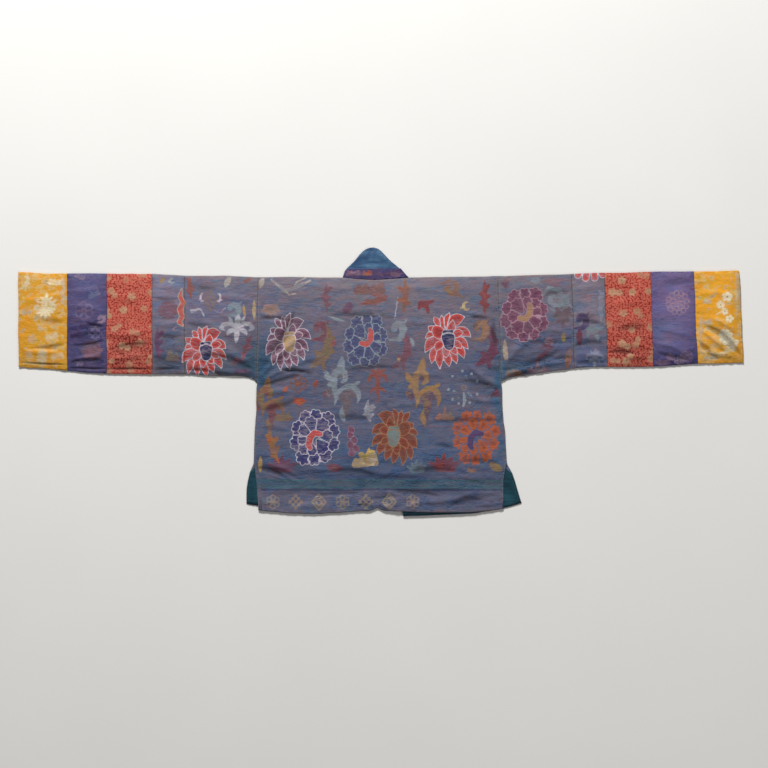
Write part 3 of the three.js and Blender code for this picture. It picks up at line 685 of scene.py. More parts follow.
# Figures: kind, place, half size, turn, strength and one to three colours: fill, line and accent. Where the
# line isn't named it is like the fill, and where the accent isn't, it is like the line.
MAIN_FIGURES = table("""
lotus -440 78 54 62 0 1 red white deep
lotus -232 100 53 68 0 0.95 mauve white gold
peony -40 105 54 66 0 0.9 navy silver red
lotus 165 105 56 69 0 1 red white deep
peony 355 168 58 66 0 0.95 mauve pink peach
peony -162 -138 61 69 180 1 navy white red
lotus 36 -135 -57 69 0 0.88 clay peach sea
peony 240 -138 59 68 180 0.95 orange slate violet
between the upper flowers:
curl -152 126 24 30 0 0.8 maroon rose
long_leaf -146 88 32 62 0 0.75 ochre brown
curl 42 126 24 30 0 0.8 silver grey
long_leaf 54 78 24 52 0 0.6 maroon rose
curl 247 127 24 32 0 0.85 peach brown
long_leaf 266 84 30 52 0 0.85 maroon mauve
slip -110 158 3 22 72 0.6 silver
slip 78 100 7 10 20 0.6 silver
blob -118 98 10 9 0 0.7 brick rose
middle row:
arch_leaf -98 -16 46 80 0 0.85 silver grey brown
arch_leaf 104 -22 44 82 0 0.95 peach ochre violet
arch_leaf -282 -52 40 66 0 0.75 ochre rust maroon
sceptre -8 -5 28 42 0 0.65 brick rust
rosette -207 -4 26 25 0 0.75 brown rust
blob -237 -18 8 9 0 0.95 orange rust
blob -163 -3 8 11 0 0.85 brick rust
flame -203 -52 17 13 180 0.85 orange brick
starburst 206 -14 42 46 0 0.75 indigo silver rose
star_leaf -29 -72 18 27 0 0.6 silver white
mountain -245 -78 24 20 0 0.7 ochre brown
mountain 160 -75 24 20 0 0.7 peach rose
blob -137 -26 10 14 0 0.6 maroon rose
slip 46 52 7 12 180 0.8 straw peach
mountain 287 -22 12 16 0 0.7 maroon
lower row:
star_leaf -267 -158 20 44 12 0.8 ochre orange
grapes -72 -150 18 37 8 0.9 mauve pink
cloud -40 -198 37 22 8 0.8 gold cream rust
star_leaf -40 -186 20 24 -20 0.85 gold straw
flame -245 -202 37 26 0 0.55 maroon mauve
slip -116 -212 10 20 75 0.7 maroon rose
flame 90 -209 24 20 0 0.55 grey sea
flame 159 -200 36 28 0 0.75 maroon brick
slip 287 -210 11 16 60 0.8 ochre
cloud 226 -220 13 7 0 0.6 rust peach cream
slip -301 -206 5 20 0 0.7 gold
top row:
ribbon -225 236 50 26 0 0.65 slate cream
slip -298 247 7 13 -20 0.6 cream
flame -275 174 22 22 180 0.75 ochre pink
star_leaf -135 212 15 38 0 0.5 maroon rose
blob -81 186 16 17 0 0.4 mauve
swirl -165 178 28 22 0 0.25 lilac slate
cloud -28 232 46 20 0 0.6 rust brown maroon
long_leaf -18 208 36 16 0 0.55 brick rust
star_leaf 57 216 18 42 0 0.75 brick ochre
key_shape 111 190 23 21 0 0.8 maroon brick
swirl 177 232 30 27 0 0.6 rust ochre
hook 213 187 16 18 0 0.85 straw cream
star_leaf 259 211 17 42 0 0.85 brick maroon
slip 38 184 1 28 -8 0.6 white
left sleeve:
hook -446 208 9 19 0 0.8 white
hook -404 208 -9 19 0 0.75 white
slip -382 249 8 13 -30 0.7 cream silver
ribbon -456 178 19 11 160 0.8 white
lattice -425 202 19 30 0 0.3 ochre
ribbon -398 176 15 9 20 0.6 white lilac
scroll_work -360 134 40 36 0 0.75 silver white
curl -368 180 22 20 0 0.5 grey silver
star_leaf -335 84 15 38 -20 0.75 maroon rose
blob -362 52 12 12 0 0.6 maroon rose
star_leaf -475 236 15 28 0 0.6 brick rust
blob -332 254 18 6 0 0.6 rust
slip -341 178 3 15 8 0.8 straw peach
slip -316 180 4 24 0 0.7 straw cream
blob -478 88 9 14 0 0.4 ochre rose
cloud -345 28 24 10 0 0.5 indigo maroon
left strip:
oval -532 178 26 26 0 0.55 maroon rose
wavy_edge -497 186 11 46 0 0.9 red cream
blob -545 254 8 8 0 0.7 gold ochre
hook -522 252 12 10 0 0.7 cream silver
star_leaf -554 96 15 40 0 0.75 mauve violet
hook -512 132 10 8 0 0.5 pink
cloud -520 62 16 22 0 0.3 rose ochre
right sleeve:
swirl 436 206 36 40 20 0.5 silver grey
curl 448 196 24 26 0 0.35 sea silver
star_leaf 430 250 30 14 0 0.3 rose
flame 452 160 24 36 180 0.55 brown
slip 456 111 7 10 0 0.75 gold ochre
slip 470 60 8 24 -10 0.6 peach rust
slip 311 77 6 28 6 0.75 cream peach
mountain 391 38 28 16 0 0.45 pink rose
cloud 332 22 24 12 0 0.7 brown peach maroon
long_leaf 404 76 30 16 30 0.6 maroon
flame 420 104 12 12 0 0.5 rose pink
star_leaf 312 246 12 14 0 0.5 maroon
swirl 385 252 20 10 0 0.3 sea silver
right strip:
scalloped 522 274 40 20 0 0.95 red white
curl 500 150 20 24 0 0.8 violet indigo
slip 496 112 7 20 0 0.75 maroon
key_shape 532 122 24 20 0 0.45 sea silver
wavy_edge 548 190 9 38 180 0.5 lilac silver
key_shape 520 212 10 13 0 0.45 pink rose
scroll_work 534 60 22 26 0 0.45 lilac silver
""")

# The woven border above the hem: lines across the silk (height, half width, colour, strength).
BORDER = table("""
-254 11.5 #4e5b6d 0.75, -245 1.8 #3d6a70 0.8, -254 1.4 #44686e 0.6, -262 1.8 #3d6a70 0.7
-268 2.2 #2d3350 0.8
""")
BORDER_SOFT, BORDER_DIP = 1.6, 2.0  # mm: how softly its lines are edged, and how far they wander
# The row of small ornaments below it.
BORDER_SIGNS = (["rosette", "lattice", "lozenge"] * 3)[:7]
SIGN_FIRST, SIGN_STEP, SIGN_HEIGHT, SIGN_HALF, SIGN_STRENGTH = -270, 58, -299, (20, 21), 0.78
# Thin rosy lines in the silk: from and to.
PALE_LINES = table("-145 -189 -78 -190, 110 -112 295 -106, 230 -181 292 -186")

YELLOW_FIGURES = table("""
long_leaf -888 250 14 22 0 0.5 pearl mist
cloud -810 250 24 12 0 0.55 snow pearl mist
scroll_work -834 204 24 18 180 0.6 snow pearl
flame -838 170 20 19 180 0.62 snow pearl
round_blossom -858 186 9 8 1 0.6 pearl mist gold
round_blossom -818 188 9 14 2 0.6 pearl mist gold
blob -860 160 7 10 0 0.4 silver mist
cloud -884 176 14 9 0 0.4 silver mist
wavy_edge -792 226 8 34 0 0.5 mist shell
round_blossom -872 108 13 12 3 0.4 mist shell
cloud -822 112 18 10 20 0.45 pearl mist
round_blossom -880 72 11 11 0 0.4 shell mist gold
cloud -808 66 18 12 0 0.4 mist pearl mist
full_medallion -846 64 14 18 0 0.35 mist
round_blossom -850 134 8 8 2 0.35 shell mist gold
round_blossom 864 212 15 13 1 0.85 snow pearl gold
round_blossom 848 192 11 10 2 0.75 snow pearl gold
round_blossom 858 176 9 9 3 0.9 snow pearl gold
ribbon 850 182 16 14 80 0.55 snow pearl
round_blossom 870 158 12 9 4 0.75 snow pearl gold
full_medallion 862 112 18 24 30 0.85 snow mist
cloud 880 92 16 16 60 0.7 snow mist
cloud 812 150 16 9 0 0.5 silver mist
cloud 814 200 12 8 0 0.45 silver mist
wavy_edge 888 216 9 56 180 0.2 mist silver
wavy_edge 800 118 6 46 0 0.4 mist shell
ribbon 846 74 44 12 0 0.55 mist pearl
cloud 822 62 20 8 0 0.4 silver mist silver
""")
PURPLE_FIGURES = table("""
full_medallion -722 80 28 25 0 0.5 brown rose
rosette -722 80 24 22 0 0.3 peach rose
medallion 740 198 31 34 0 0.7 pink
cloud -716 219 18 12 25 0.45 lilac slate
cloud -752 262 16 9 -20 0.45 pink slate
rosette -742 178 28 26 0 0.28 rose lilac maroon
cloud -762 122 18 11 30 0.6 ink violet ink
cloud -738 146 17 9 20 0.7 ink violet ink
blob -714 148 10 11 0 0.6 ink violet
star_leaf -704 126 10 22 20 0.45 ink violet
flame -766 156 12 12 0 0.3 brown violet
curl -699 157 13 12 0 0.5 lilac pink
lattice -712 122 20 22 0 0.18 lilac
cloud -756 50 22 6 0 0.5 ink
cloud -706 52 16 6 0 0.45 ink
round_blossom -752 48 13 8 0 0.35 pink lilac
round_blossom 722 62 12 10 1 0.5 rose lilac indigo
rosette 744 54 16 12 2 0.65 pink lilac indigo
oval 704 48 20 7 0 0.45 lilac rose
medallion 762 62 18 16 0 0.6 pink lilac
rosette 718 112 18 18 0 0.22 rose
ribbon 756 104 14 8 0 0.3 pink rose
ribbon 720 246 26 9 20 0.22 rose slate
""")
BLOSSOM_STEP = (46, 42)  # across and along a red band
RED_START, RED_END = 545, 705  # where the red bands lie
COLLAR_FIGURES = table("""
cloud -34 272 13 8 0 0.6 amber brick
cloud -70 272 20 8 0 0.45 rose pink
star_leaf 5 270 20 8 0 0.5 rose violet
flame 36 272 16 9 0 0.4 pink rose
blob -12 262 10 6 0 0.5 navy violet
""")

# Broad patches of each silk's ground: place, reach, colour and strength.
GROUND_BASE = "#726a7a"
# In the main silk the teal patch at the right underarm (296 10) is painted sheen, the light caught by the
# folds there.
GROUND_PATCHES = table("""
0 240 330 70 #80757f 0.9, 0 -30 380 90 #5f6178 0.75, 0 -190 400 80 #4b5f7e 0.85
0 -310 400 36 #6b6c84 0.95, -296 30 30 90 #33587a 0.8, 296 10 16 70 #2d6484 0.9
300 -120 9 130 #3a6480 0.7, -302 -120 7 130 #46617a 0.6, -250 -216 90 22 #333f5a 0.6
40 -225 260 14 #36405e 0.6, 190 -290 120 24 #4c5270 0.6, -325 50 60 44 #2c5064 0.85
-440 190 110 60 #74708c 0.6, -540 225 40 60 #8c8298 0.8, -540 50 60 34 #33495e 0.7
-400 30 60 24 #33495e 0.6, -400 250 90 30 #80747f 0.6, 380 240 110 40 #7b6f78 0.7
440 90 90 44 #575c7c 0.7, 350 40 60 40 #37546e 0.75, 520 195 50 75 #877c89 0.8, 520 60 50 35 #56628a 0.8
0 60 120 60 #68606e 0.5, -200 50 80 24 #4a5d78 0.6, 215 40 50 40 #4e5a78 0.6
""")
RED_PATCHES = table("""
-628 240 60 50 #c04636 0.7, -628 70 60 50 #8a2620 0.7, 620 230 60 60 #bf3f30 0.7
620 60 60 50 #8f2a20 0.7
""")
# The bright patches on the right band (840 225, 850 170, 805 110) are partly its own colour and partly
# painted light, making up for the lamps' light falling off towards the right.
YELLOW_PATCHES = table("""
-880 260 40 30 #d79a2c 0.6, -845 50 60 18 #b98c40 0.5, 840 225 40 50 #ffb02e 0.8
890 200 10 90 #c9a45a 0.6, 850 170 60 70 #f2a82c 0.5, 805 110 26 44 #fbac2a 0.75
850 66 60 14 #b58e48 0.6
""")
# The dark patches at -735 136 and 745 46 are painted shade in the folds of the purple bands.
PURPLE_PATCHES = table("""
-735 240 60 60 #635b82 0.85, -735 136 46 24 #322e55 0.7, -735 60 60 40 #534a6c 0.8
735 205 80 90 #84709c 0.9, 735 125 50 40 #746a92 0.8, 700 130 30 30 #566a8c 0.4
745 46 60 18 #332a5c 0.85
""")
COLLAR_PATCHES = table("""
-60 265 40 20 #64506e 0.6, 20 270 40 20 #544674 0.6, -32 275 18 10 #6f4c50 0.4
""")

# ---------------- painting the figures on a mesh
FAR = 60.0  # mm: the distance kept where no figure is near
MARGIN = 7.0  # how far round a figure its distance is kept
EDGE_WEAR = "#8f8279"  # where the silk has faded along its folds
WORN, WEAR = 3.0, 0.4  # how far in from an edge it is faded, in mm, and how much
HILLS, HILLS_FROM = 61, 300.0  # the soft noise's cells across before it repeats, and where it starts


class Layer:
    """What is woven on one layer, at each point of a mesh."""

    def __init__(self, count):
        self.near = np.full(count, FAR)  # distance to the nearest part of a figure
        self.next = np.full(count, FAR)  # and to the next one
        self.line_width = np.zeros(count)
        self.strength = np.ones(count)
        self.fill = np.zeros((count, 3))
        self.line = np.zeros((count, 3))


class Cloth:
    """The woven colours of one mesh, worked out at its points."""

    def __init__(self, x, y):
        self.x, self.y = x, y
        self.layers = {name: Layer(len(x)) for name in LAYERS}

    def draw(self, layer, strokes, fill, line, width, strength):
        """One part of a figure, its strokes in millimetres on the cloth."""
        low = np.min([p.min(0) - w.max() for p, w in strokes], axis=0) - MARGIN
        high = np.max([p.max(0) + w.max() for p, w in strokes], axis=0) + MARGIN
        inside = (self.x > low[0]) & (self.x < high[0]) & (self.y > low[1]) & (self.y < high[1])
        found = np.nonzero(inside)[0]
        if not len(found):
            return
        here = np.stack([self.x[found], self.y[found]], 1)
        distance = np.full(len(found), FAR)
        for points, widths in strokes:
            for a, b, wide_a, wide_b in zip(points, points[1:], widths, widths[1:]):
                run = b - a
                share = np.clip((here - a) @ run / max(run @ run, 1e-9), 0, 1)
                away = np.hypot(*(here - a - share[:, None] * run).T)
                distance = np.minimum(distance, away - (wide_a + share * (wide_b - wide_a)))
        woven = self.layers[layer]
        closer = distance < woven.near[found]
        won, lost = found[closer], found[~closer]
        woven.next[won] = woven.near[won]
        woven.next[lost] = np.minimum(woven.next[lost], distance[~closer])
        woven.near[won] = distance[closer]
        woven.fill[won] = fill
        woven.line[won] = line
        woven.line_width[won] = width
        woven.strength[won] = strength

    def place(self, rows):
        """The figures of a table."""
        for i, (kind, x, y, half_x, half_y, turn, strength, *names) in enumerate(rows):
            names = names + names[-1:] * 2
            inks = dict(zip(("fill", "line", "accent"), (linear(DYE[n]) for n in names)))
            spin = math.radians(turn)
            matrix = np.array([[math.cos(spin), math.sin(spin)], [-math.sin(spin), math.cos(spin)]])
            scale = np.array([half_x, half_y])
            narrow, broad = sorted((abs(half_x), abs(half_y)))
            wide = min(0.7 * narrow + 0.3 * broad, 1.4 * narrow)
            figure = FIGURES[kind]
            for layer, ink, width, strokes in figure(i) if callable(figure) else figure:
                placed = [((p * scale) @ matrix + (x, y), w * wide) for p, w in strokes]
                self.draw(layer, placed, inks[ink], inks["line"], width, strength)

    def store(self, mesh, ground):
        """Writes the woven colours to the mesh."""
        for name, woven in self.layers.items():
            width, near = woven.line_width, woven.near
            between = width - (woven.next - near) / 2
            inside = np.where(width > 0, np.maximum(near, between), near)
            reach = np.stack([near - width, inside, woven.strength], 1)
            write_values(mesh, name + "_reach", "FLOAT_VECTOR", "vector", reach)
            write_colours(mesh, name + "_fill", woven.fill)
            write_colours(mesh, name + "_line", woven.line)
        write_colours(mesh, "ground", ground)


def write_values(mesh, name, kind, field, values):
    made = mesh.attributes.new(name, kind, "POINT")
    made.data.foreach_set(field, values.astype(np.float32).ravel())


def write_colours(mesh, name, values):
    full = np.concatenate([values, np.ones((len(values), 1))], 1)
    write_values(mesh, name, "FLOAT_COLOR", "color", full)


def soft_noise(x, y, size_x, size_y, seed):
    """Smooth uneven hills from -1 to 1, of about these sizes in millimetres."""
    hills = np.random.default_rng(seed).uniform(-1, 1, (HILLS, HILLS))
    u, v = x / size_x + HILLS_FROM, y / size_y + HILLS_FROM
    i, j = np.floor(u).astype(int), np.floor(v).astype(int)
    s, t = u - i, v - j
    s, t = s * s * (3 - 2 * s), t * t * (3 - 2 * t)

    def corner(a, b):
        return hills[(i + a) % HILLS, (j + b) % HILLS]

    low = corner(0, 0) * (1 - s) + corner(1, 0) * s
    high = corner(0, 1) * (1 - s) + corner(1, 1) * s
    return low * (1 - t) + high * t


def dyed(ground, share, code):
    """The ground taken part of the way to another colour."""
    return ground + share[:, None] * (np.array(linear(code)) - ground)


def bump_at(x, y, place_x, place_y, reach_x, reach_y):
    """1 at a place, falling off softly over its reach."""
    return np.exp(-(((x - place_x) / reach_x) ** 2) - ((y - place_y) / reach_y) ** 2)


def patched(x, y, base, patches):
    """A ground colour that changes softly over the cloth."""
    ground = np.tile(linear(base), (len(x), 1))
    u = x + 18 * soft_noise(x, y, 60, 40, 5)
    v = y + 14 * soft_noise(x, y, 90, 35, 6)
    for *where, code, strength in patches:
        ground = dyed(ground, strength * bump_at(u, v, *where), code)
    return ground


def paint_main(mesh, x, y, node, worn):
    """The main silk; the woven border and its signs are on the back only."""
    cloth = Cloth(x, y)
    cloth.place(MAIN_FIGURES)
    ground = dyed(patched(x, y, GROUND_BASE, GROUND_PATCHES), worn, EDGE_WEAR)
    if node == "back":
        for height, half, code, strength in BORDER:
            dip = BORDER_DIP * soft_noise(x, y, 80, 900, 8)
            inside = np.clip((half - np.abs(y - height - dip)) / BORDER_SOFT + 0.5, 0, 1)
            ground = dyed(ground, inside * strength, code)
        for i, kind in enumerate(BORDER_SIGNS):
            sign_x = SIGN_FIRST + SIGN_STEP * i
            cloth.place([(kind, sign_x, SIGN_HEIGHT, *SIGN_HALF, 0, SIGN_STRENGTH, "sign")])
        rose = linear(DYE["rose"])
        for x0, y0, x1, y1 in PALE_LINES:
            cloth.draw("leaf", [stroke([(x0, y0, 1.1), (x1, y1, 1.1)])], rose, rose, 0, 0.7)
    cloth.store(mesh, ground)


def paint_band(figures, base, patches):
    """How a silk is painted whose figures and ground patches stand in two tables."""

    def paint(mesh, x, y, node, worn):
        cloth = Cloth(x, y)
        cloth.place(figures)
        cloth.store(mesh, patched(x, y, base, patches))

    return paint


def red_blossoms():
    """Round blossoms in uneven rows, most of them in pairs; the curls between are in the material."""
    random = np.random.default_rng(11)
    across, along = BLOSSOM_STEP
    rows = []
    for i in range(-20, 21):
        for j in range(0, 10):
            px = i * across + (j % 2) * across / 2 + random.uniform(-9, 9)
            py = 10 + j * along + random.uniform(-9, 9)
            half = random.uniform(8.0, 11.5)
            colours = (random.uniform(0.35, 0.72), "blossom", "shell", "rust")
            lean = random.uniform(-1.5, 1.5)
            if RED_START < abs(px) < RED_END:
                rows.append(("round_blossom", px, py, half, half, 10 * i, *colours))
                if random.uniform() < 0.6:
                    near = toward(math.degrees(lean), 1.5 * half, (px, py))
                    rows.append(("round_blossom", *near, 0.8 * half, 0.8 * half, 9 * j, *colours))
    return rows


# ---------------- folds and creases
# Creases of the cloth: from, to, bow to one side, height (a trough is negative) and half width.
CREASES = table("""
left underarm, spreading up and across the back:
-306 6 -176 128 10 2.2 9, -304 20 -214 176 -8 -1.6 8, -300 0 -150 62 8 1.8 7, -303 -8 -196 22 -4 -1.5 5
-292 60 -240 190 6 1.2 10, -260 30 -170 20 3 -1.7 3.5, -250 38 -160 36 -3 1.3 6
-308 156 -222 150 4 -1.2 4, -300 168 -236 166 -3 0.9 6, -300 -34 -220 -26 6 1.3 7
-298 -70 -206 -40 -8 -1.1 7
right underarm:
299 4 268 118 -8 2.3 8, 298 0 282 150 4 -1.7 6, 296 -8 214 52 8 1.8 7, 298 -22 205 4 -5 -1.5 6
300 -46 216 -38 4 1.4 7, 226 160 268 156 2 -1.3 4, 214 172 284 168 -3 1 6, 292 180 246 226 4 1 9
across the back:
-120 166 30 158 4 -0.8 7, 40 152 130 150 -4 0.8 8, -90 28 40 34 5 -0.9 6, 60 26 150 18 -4 1 8
-130 -86 -10 -90 -4 -0.9 7, 20 -62 126 -58 4 0.9 8, -12 244 -14 40 3 0.9 7, -13 20 -12 -306 -3 1.1 6
120 -104 294 -96 4 -0.9 6, -300 -110 -232 -118 3 1 8, 60 236 150 222 5 0.9 10
-180 244 -60 236 -5 0.8 9, 130 -160 184 -166 2 -0.8 6, -110 -182 10 -176 -3 0.9 7
above the border:
-306 -216 -228 -246 5 -2.3 5, -298 -204 -206 -234 6 1.9 7, -276 -232 -200 -252 3 1.2 6
-150 -226 -10 -232 6 -1.3 6, -30 -222 90 -230 -5 1.4 8, 60 -228 190 -222 5 -1.4 6
150 -232 290 -236 -4 1.2 7, 200 -198 296 -204 3 -1 6, -190 -218 -120 -222 2 1 7
the border and the hem:
-292 -276 -190 -272 3 0.9 6, -180 -279 -50 -275 -3 -1.1 4, -40 -272 40 -280 3 1.2 6
30 -276 140 -284 4 -1.2 5, 110 -300 210 -284 -5 1.5 7, 170 -310 260 -292 4 -1.5 6
200 -284 296 -276 3 1.3 7, 240 -306 300 -300 -2 1.2 6, 60 -312 120 -302 3 1.1 6
-210 -312 -120 -308 3 0.8 7, -60 -308 -14 -316 2 -1.4 4, -8 -300 24 -318 -2 1.5 5
-300 -300 -262 -306 2 0.9 7
left sleeve, from the underarm towards the cuff:
-316 20 -420 34 5 2 8, -322 34 -452 70 -8 -1.8 7, -326 50 -400 108 8 1.7 9, -330 12 -404 16 2 -1.3 4
-404 26 -490 24 3 1.2 6, -352 120 -440 150 6 1 10, -320 200 -420 214 -6 0.9 9
-430 140 -486 146 3 -0.9 6, -388 18 -488 30 -3 -1.4 4, -330 150 -372 152 3 -1.1 5
-410 232 -470 238 2 -0.7 7, -496 150 -566 146 3 0.9 7, -494 60 -570 66 -4 1.2 8
-500 34 -570 33 0 -1.6 2.6, -500 112 -560 120 3 -0.9 6, -508 206 -566 210 3 -0.8 7
-495 232 -560 240 -3 0.8 8
left bands; the underarm seam lies a little above the lower fold:
-572 34 -684 33 1 -1.6 2.6, -686 34 -782 37 1 -1.6 2.6, -785 44 -902 50 1 -1.4 2.6
-580 130 -676 120 5 1.1 8, -576 92 -670 84 -5 -1.2 6, -590 70 -680 60 4 1.2 7, -600 210 -670 220 4 0.8 9
-690 140 -740 150 4 -1.4 5, -700 126 -778 118 -5 1.8 7, -692 104 -770 92 4 -1.7 5
-690 78 -760 60 5 1.7 7, -720 150 -782 138 3 1.2 6, -700 56 -776 50 -3 -1.3 5, -692 236 -776 226 4 0.9 9
-700 180 -772 190 -4 0.8 9, -790 220 -900 206 5 0.9 10, -790 96 -880 84 4 -1.1 6
-800 72 -898 78 -3 1.2 7, -790 150 -860 160 3 -0.7 8
right sleeve:
308 12 400 40 6 2.1 8, 312 30 440 74 -8 -1.8 7, 314 50 392 112 8 1.6 9, 320 14 384 24 2 -1.4 4
392 38 476 50 4 1.3 7, 340 92 470 96 5 -0.9 7, 404 128 472 120 4 1 8, 316 226 400 236 5 0.8 9
400 210 470 224 4 -0.8 8, 420 50 474 60 3 -1.1 5, 480 90 556 96 4 -1.3 6, 482 70 560 62 4 1.4 7
486 150 552 140 4 -1 6, 480 170 540 166 3 0.9 8, 484 44 562 48 2 -1.2 5, 486 230 552 238 3 0.8 8
right bands:
570 92 668 86 5 1.2 8, 572 74 640 68 4 -1.2 5, 600 56 672 62 4 1.2 7, 580 200 660 190 4 0.8 10
590 130 672 136 4 -0.8 8, 686 96 760 70 5 1.5 7, 690 74 770 56 -4 -1.5 5, 700 130 780 110 4 1 9
700 240 776 250 4 -0.7 9, 690 56 740 50 2 1 6, 740 66 788 84 3 1.1 7, 800 128 868 66 6 2.2 7
812 140 886 84 5 -2 6, 796 100 842 58 -4 -1.8 6, 826 160 892 120 4 1.6 7, 798 76 880 60 3 1.4 6
860 92 900 66 3 -1.4 5, 796 220 880 214 4 0.9 9, 884 260 892 180 2 0.8 6
collar:
-88 284 -40 328 3 0.7 6, -20 292 -18 326 2 0.6 8, 30 288 -8 322 -3 0.8 6, -84 268 -20 262 2 0.6 6
0 262 56 270 2 -0.5 6, -60 292 -4 296 3 -0.5 5
the linings that show at the vents:
344 -292 318 -250 3 1.2 5, 312 -250 336 -240 2 -0.7 4, 316 -300 346 -286 2 0.9 5
-330 -296 -322 -250 2 0.9 4, -334 -262 -320 -256 1 0.7 4
""")
PUFF, PUFF_REACH = 3.2, 16.0  # how far the cloth swells, and how far from its seams
FLAT_PUFF = 0.3  # the share of it in the collar's upper pieces
PUCKER, PUCKER_REACH = 0.9, 8.0  # the small gathers beside a seam
FREE = 5.0  # how far from a seam the creases rise freely
DEEPEST = -0.9  # how far a trough may go below the solid's own face
CREASE_GAIN = 2.2  # raises every crease
CREASE_SHADE_MOST = 0.42  # how dark the painted shade in the troughs gets
# Where the small wrinkles are stronger: place, reach, how much more.
RUFFLED = table("""
0 -230 320 34 0.9, 60 -295 260 26 0.9, -290 40 70 70 0.8, 290 30 60 80 0.8, -735 110 60 60 1
-420 50 110 50 0.7, 410 60 120 50 0.7, 850 90 70 50 0.8, -640 80 60 50 0.5, 0 0 260 60 0.3
0 235 300 36 -0.35, 640 90 60 50 0.4, -530 80 60 50 0.4, 520 80 60 50 0.4, 0 120 160 40 -0.15
-720 225 200 60 -0.45, 720 220 200 70 -0.45, -845 130 50 120 -0.4, 845 200 50 60 -0.4
-430 225 110 50 -0.3, 430 225 110 50 -0.3
""")


def crease_height(x, y):
    height = np.zeros(len(x))
    for x0, y0, x1, y1, bow, rise, half in CREASES:
        run = np.array([x1 - x0, y1 - y0], float)
        length = math.hypot(*run)
        share = ((x - x0) * run[0] + (y - y0) * run[1]) / length**2
        near = np.nonzero((share > -0.05) & (share < 1.05))[0]
        t = np.clip(share[near], 0, 1)
        aside = ((x[near] - x0) * -run[1] + (y[near] - y0) * run[0]) / length - bow * 4 * t * (1 - t)
        wide = half * (0.75 + 0.5 * np.sin(math.pi * t))
        skew = np.where(aside > 0, 1.0, 0.7)
        profile = np.exp(-((aside / (wide * skew)) ** 2))
        height[near] += rise * np.sin(math.pi * np.clip(t * 0.94 + 0.03, 0, 1)) ** 0.7 * profile
    return height


def ruffling(x, y):
    """How strongly the cloth is ruffled, about 1 where it is plainly so."""
    much = 0.5 + 0.45 * soft_noise(x, y, 130, 90, 22)
    for *where, more in RUFFLED:
        much += more * bump_at(x, y, *where)
    return np.clip(much, 0.1, 2.0)


def small_wrinkles(x, y, much):
    """Fine uneven ripples that run mostly along the weft."""
    bent = y + 9 * soft_noise(x, y, 90, 50, 21) + 5 * soft_noise(x, y, 31, 40, 27)
    ripples = 0.55 * soft_noise(x, bent, 42, 8, 23) + 0.6 * soft_noise(x, bent, 75, 15, 24)
    slant = 0.45 * soft_noise(x + 0.6 * y, y - 0.5 * x, 30, 13, 26)
    other = 0.35 * soft_noise(x - 0.8 * y, y + 0.6 * x, 36, 12, 28)
    return (ripples + slant + other) * much + 0.14 * soft_noise(x, y, 11, 9, 25)


def outline_distance(x, y, edge_points):
    """How far each point is from the nearest edge of its piece, in millimetres."""
    nearest = np.full(len(x), 1e9)
    for part in np.array_split(edge_points, max(1, len(edge_points) // 60)):
        gap = (x[:, None] - part[:, 0]) ** 2 + (y[:, None] - part[:, 1]) ** 2
        nearest = np.minimum(nearest, gap.min(1))
    return np.sqrt(nearest)


def sway(x, y):
    """A slight wander of every edge, the same for all the pieces so that the seams stay shut."""
    along = 1.3 * soft_noise(x, y, 85, 60, 31) + 0.5 * soft_noise(x, y, 28, 24, 32)
    up = 1.3 * soft_noise(x, y, 75, 70, 33) + 0.6 * soft_noise(x, y, 26, 30, 34)
    return along, up


# ---------------- fine meshes on the solids
STEEP = 0.4  # the upward part of a face's normal below which it stands up


def main_axis(edge):
    run = edge.verts[1].co - edge.verts[0].co
    return 0 if abs(run.x) >= abs(run.y) and abs(run.x) > 1e-4 else 1


def edge_rings(bm, axis):
    """Rings of opposite edges of four-sided faces that run along an axis."""
    seen = set()
    rings = []
    for start in bm.edges:
        if start in seen or main_axis(start) != axis:
            continue
        seen.add(start)
        ring, waiting = [], [start]
        while waiting:
            edge = waiting.pop()
            ring.append(edge)
            for loop in edge.link_loops:
                if len(loop.face.verts) == 4:
                    other = loop.link_loop_next.link_loop_next.edge
                    if other not in seen:
                        seen.add(other)
                        waiting.append(other)
        rings.append(ring)
    return rings


def cut_along(bm, axis, pitch):
    """Cuts the faces so that their edges along an axis are about a pitch long."""
    groups = {}
    for ring in edge_rings(bm, axis):
        mean = sum(edge.calc_length() for edge in ring) / len(ring)
        cuts = math.ceil(mean / pitch - 0.1) - 1
        if cuts > 0:
            groups.setdefault(cuts, []).extend(ring)
    for cuts, edges in sorted(groups.items()):
        alive = [edge for edge in edges if edge.is_valid]
        bmesh.ops.subdivide_edges(bm, edges=alive, cuts=cuts, use_grid_fill=True)


def fine_copy(node, pitch):
    """A closed copy of a node's solid, its faces paired to quads and cut to about the pitch in mm."""
    bm = bmesh.new()
    bm.from_mesh(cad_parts[node].data)
    bmesh.ops.remove_doubles(bm, verts=bm.verts, dist=WELD)
    longest = {face: max(face.edges, key=lambda e: e.calc_length()) for face in bm.faces}
    shared = [e for e in bm.edges if len(e.link_faces) == 2 and all(longest[f] is e for f in e.link_faces)]
    bmesh.ops.dissolve_edges(bm, edges=shared, use_verts=False, use_face_split=False)
    for axis in (0, 1):
        cut_along(bm, axis, pitch * MM)
    bmesh.ops.triangulate(bm, faces=[f for f in bm.faces if len(f.verts) > 4])
    bmesh.ops.recalc_face_normals(bm, faces=bm.faces)
    mesh = bpy.data.meshes.new(node + "_cloth")
    bm.to_mesh(mesh)
    bm.free()
    return mesh


def points_of(mesh):
    flat = np.empty(len(mesh.vertices) * 3)
    mesh.vertices.foreach_get("co", flat)
    return flat.reshape(-1, 3)


def steep_points(mesh):
    """The points of the faces that stand up: a piece's cut edges and its rolled folds."""
    steep = [p.vertices[:] for p in mesh.polygons if abs(p.normal.z) < STEEP]
    return np.unique([v for face in steep for v in face])


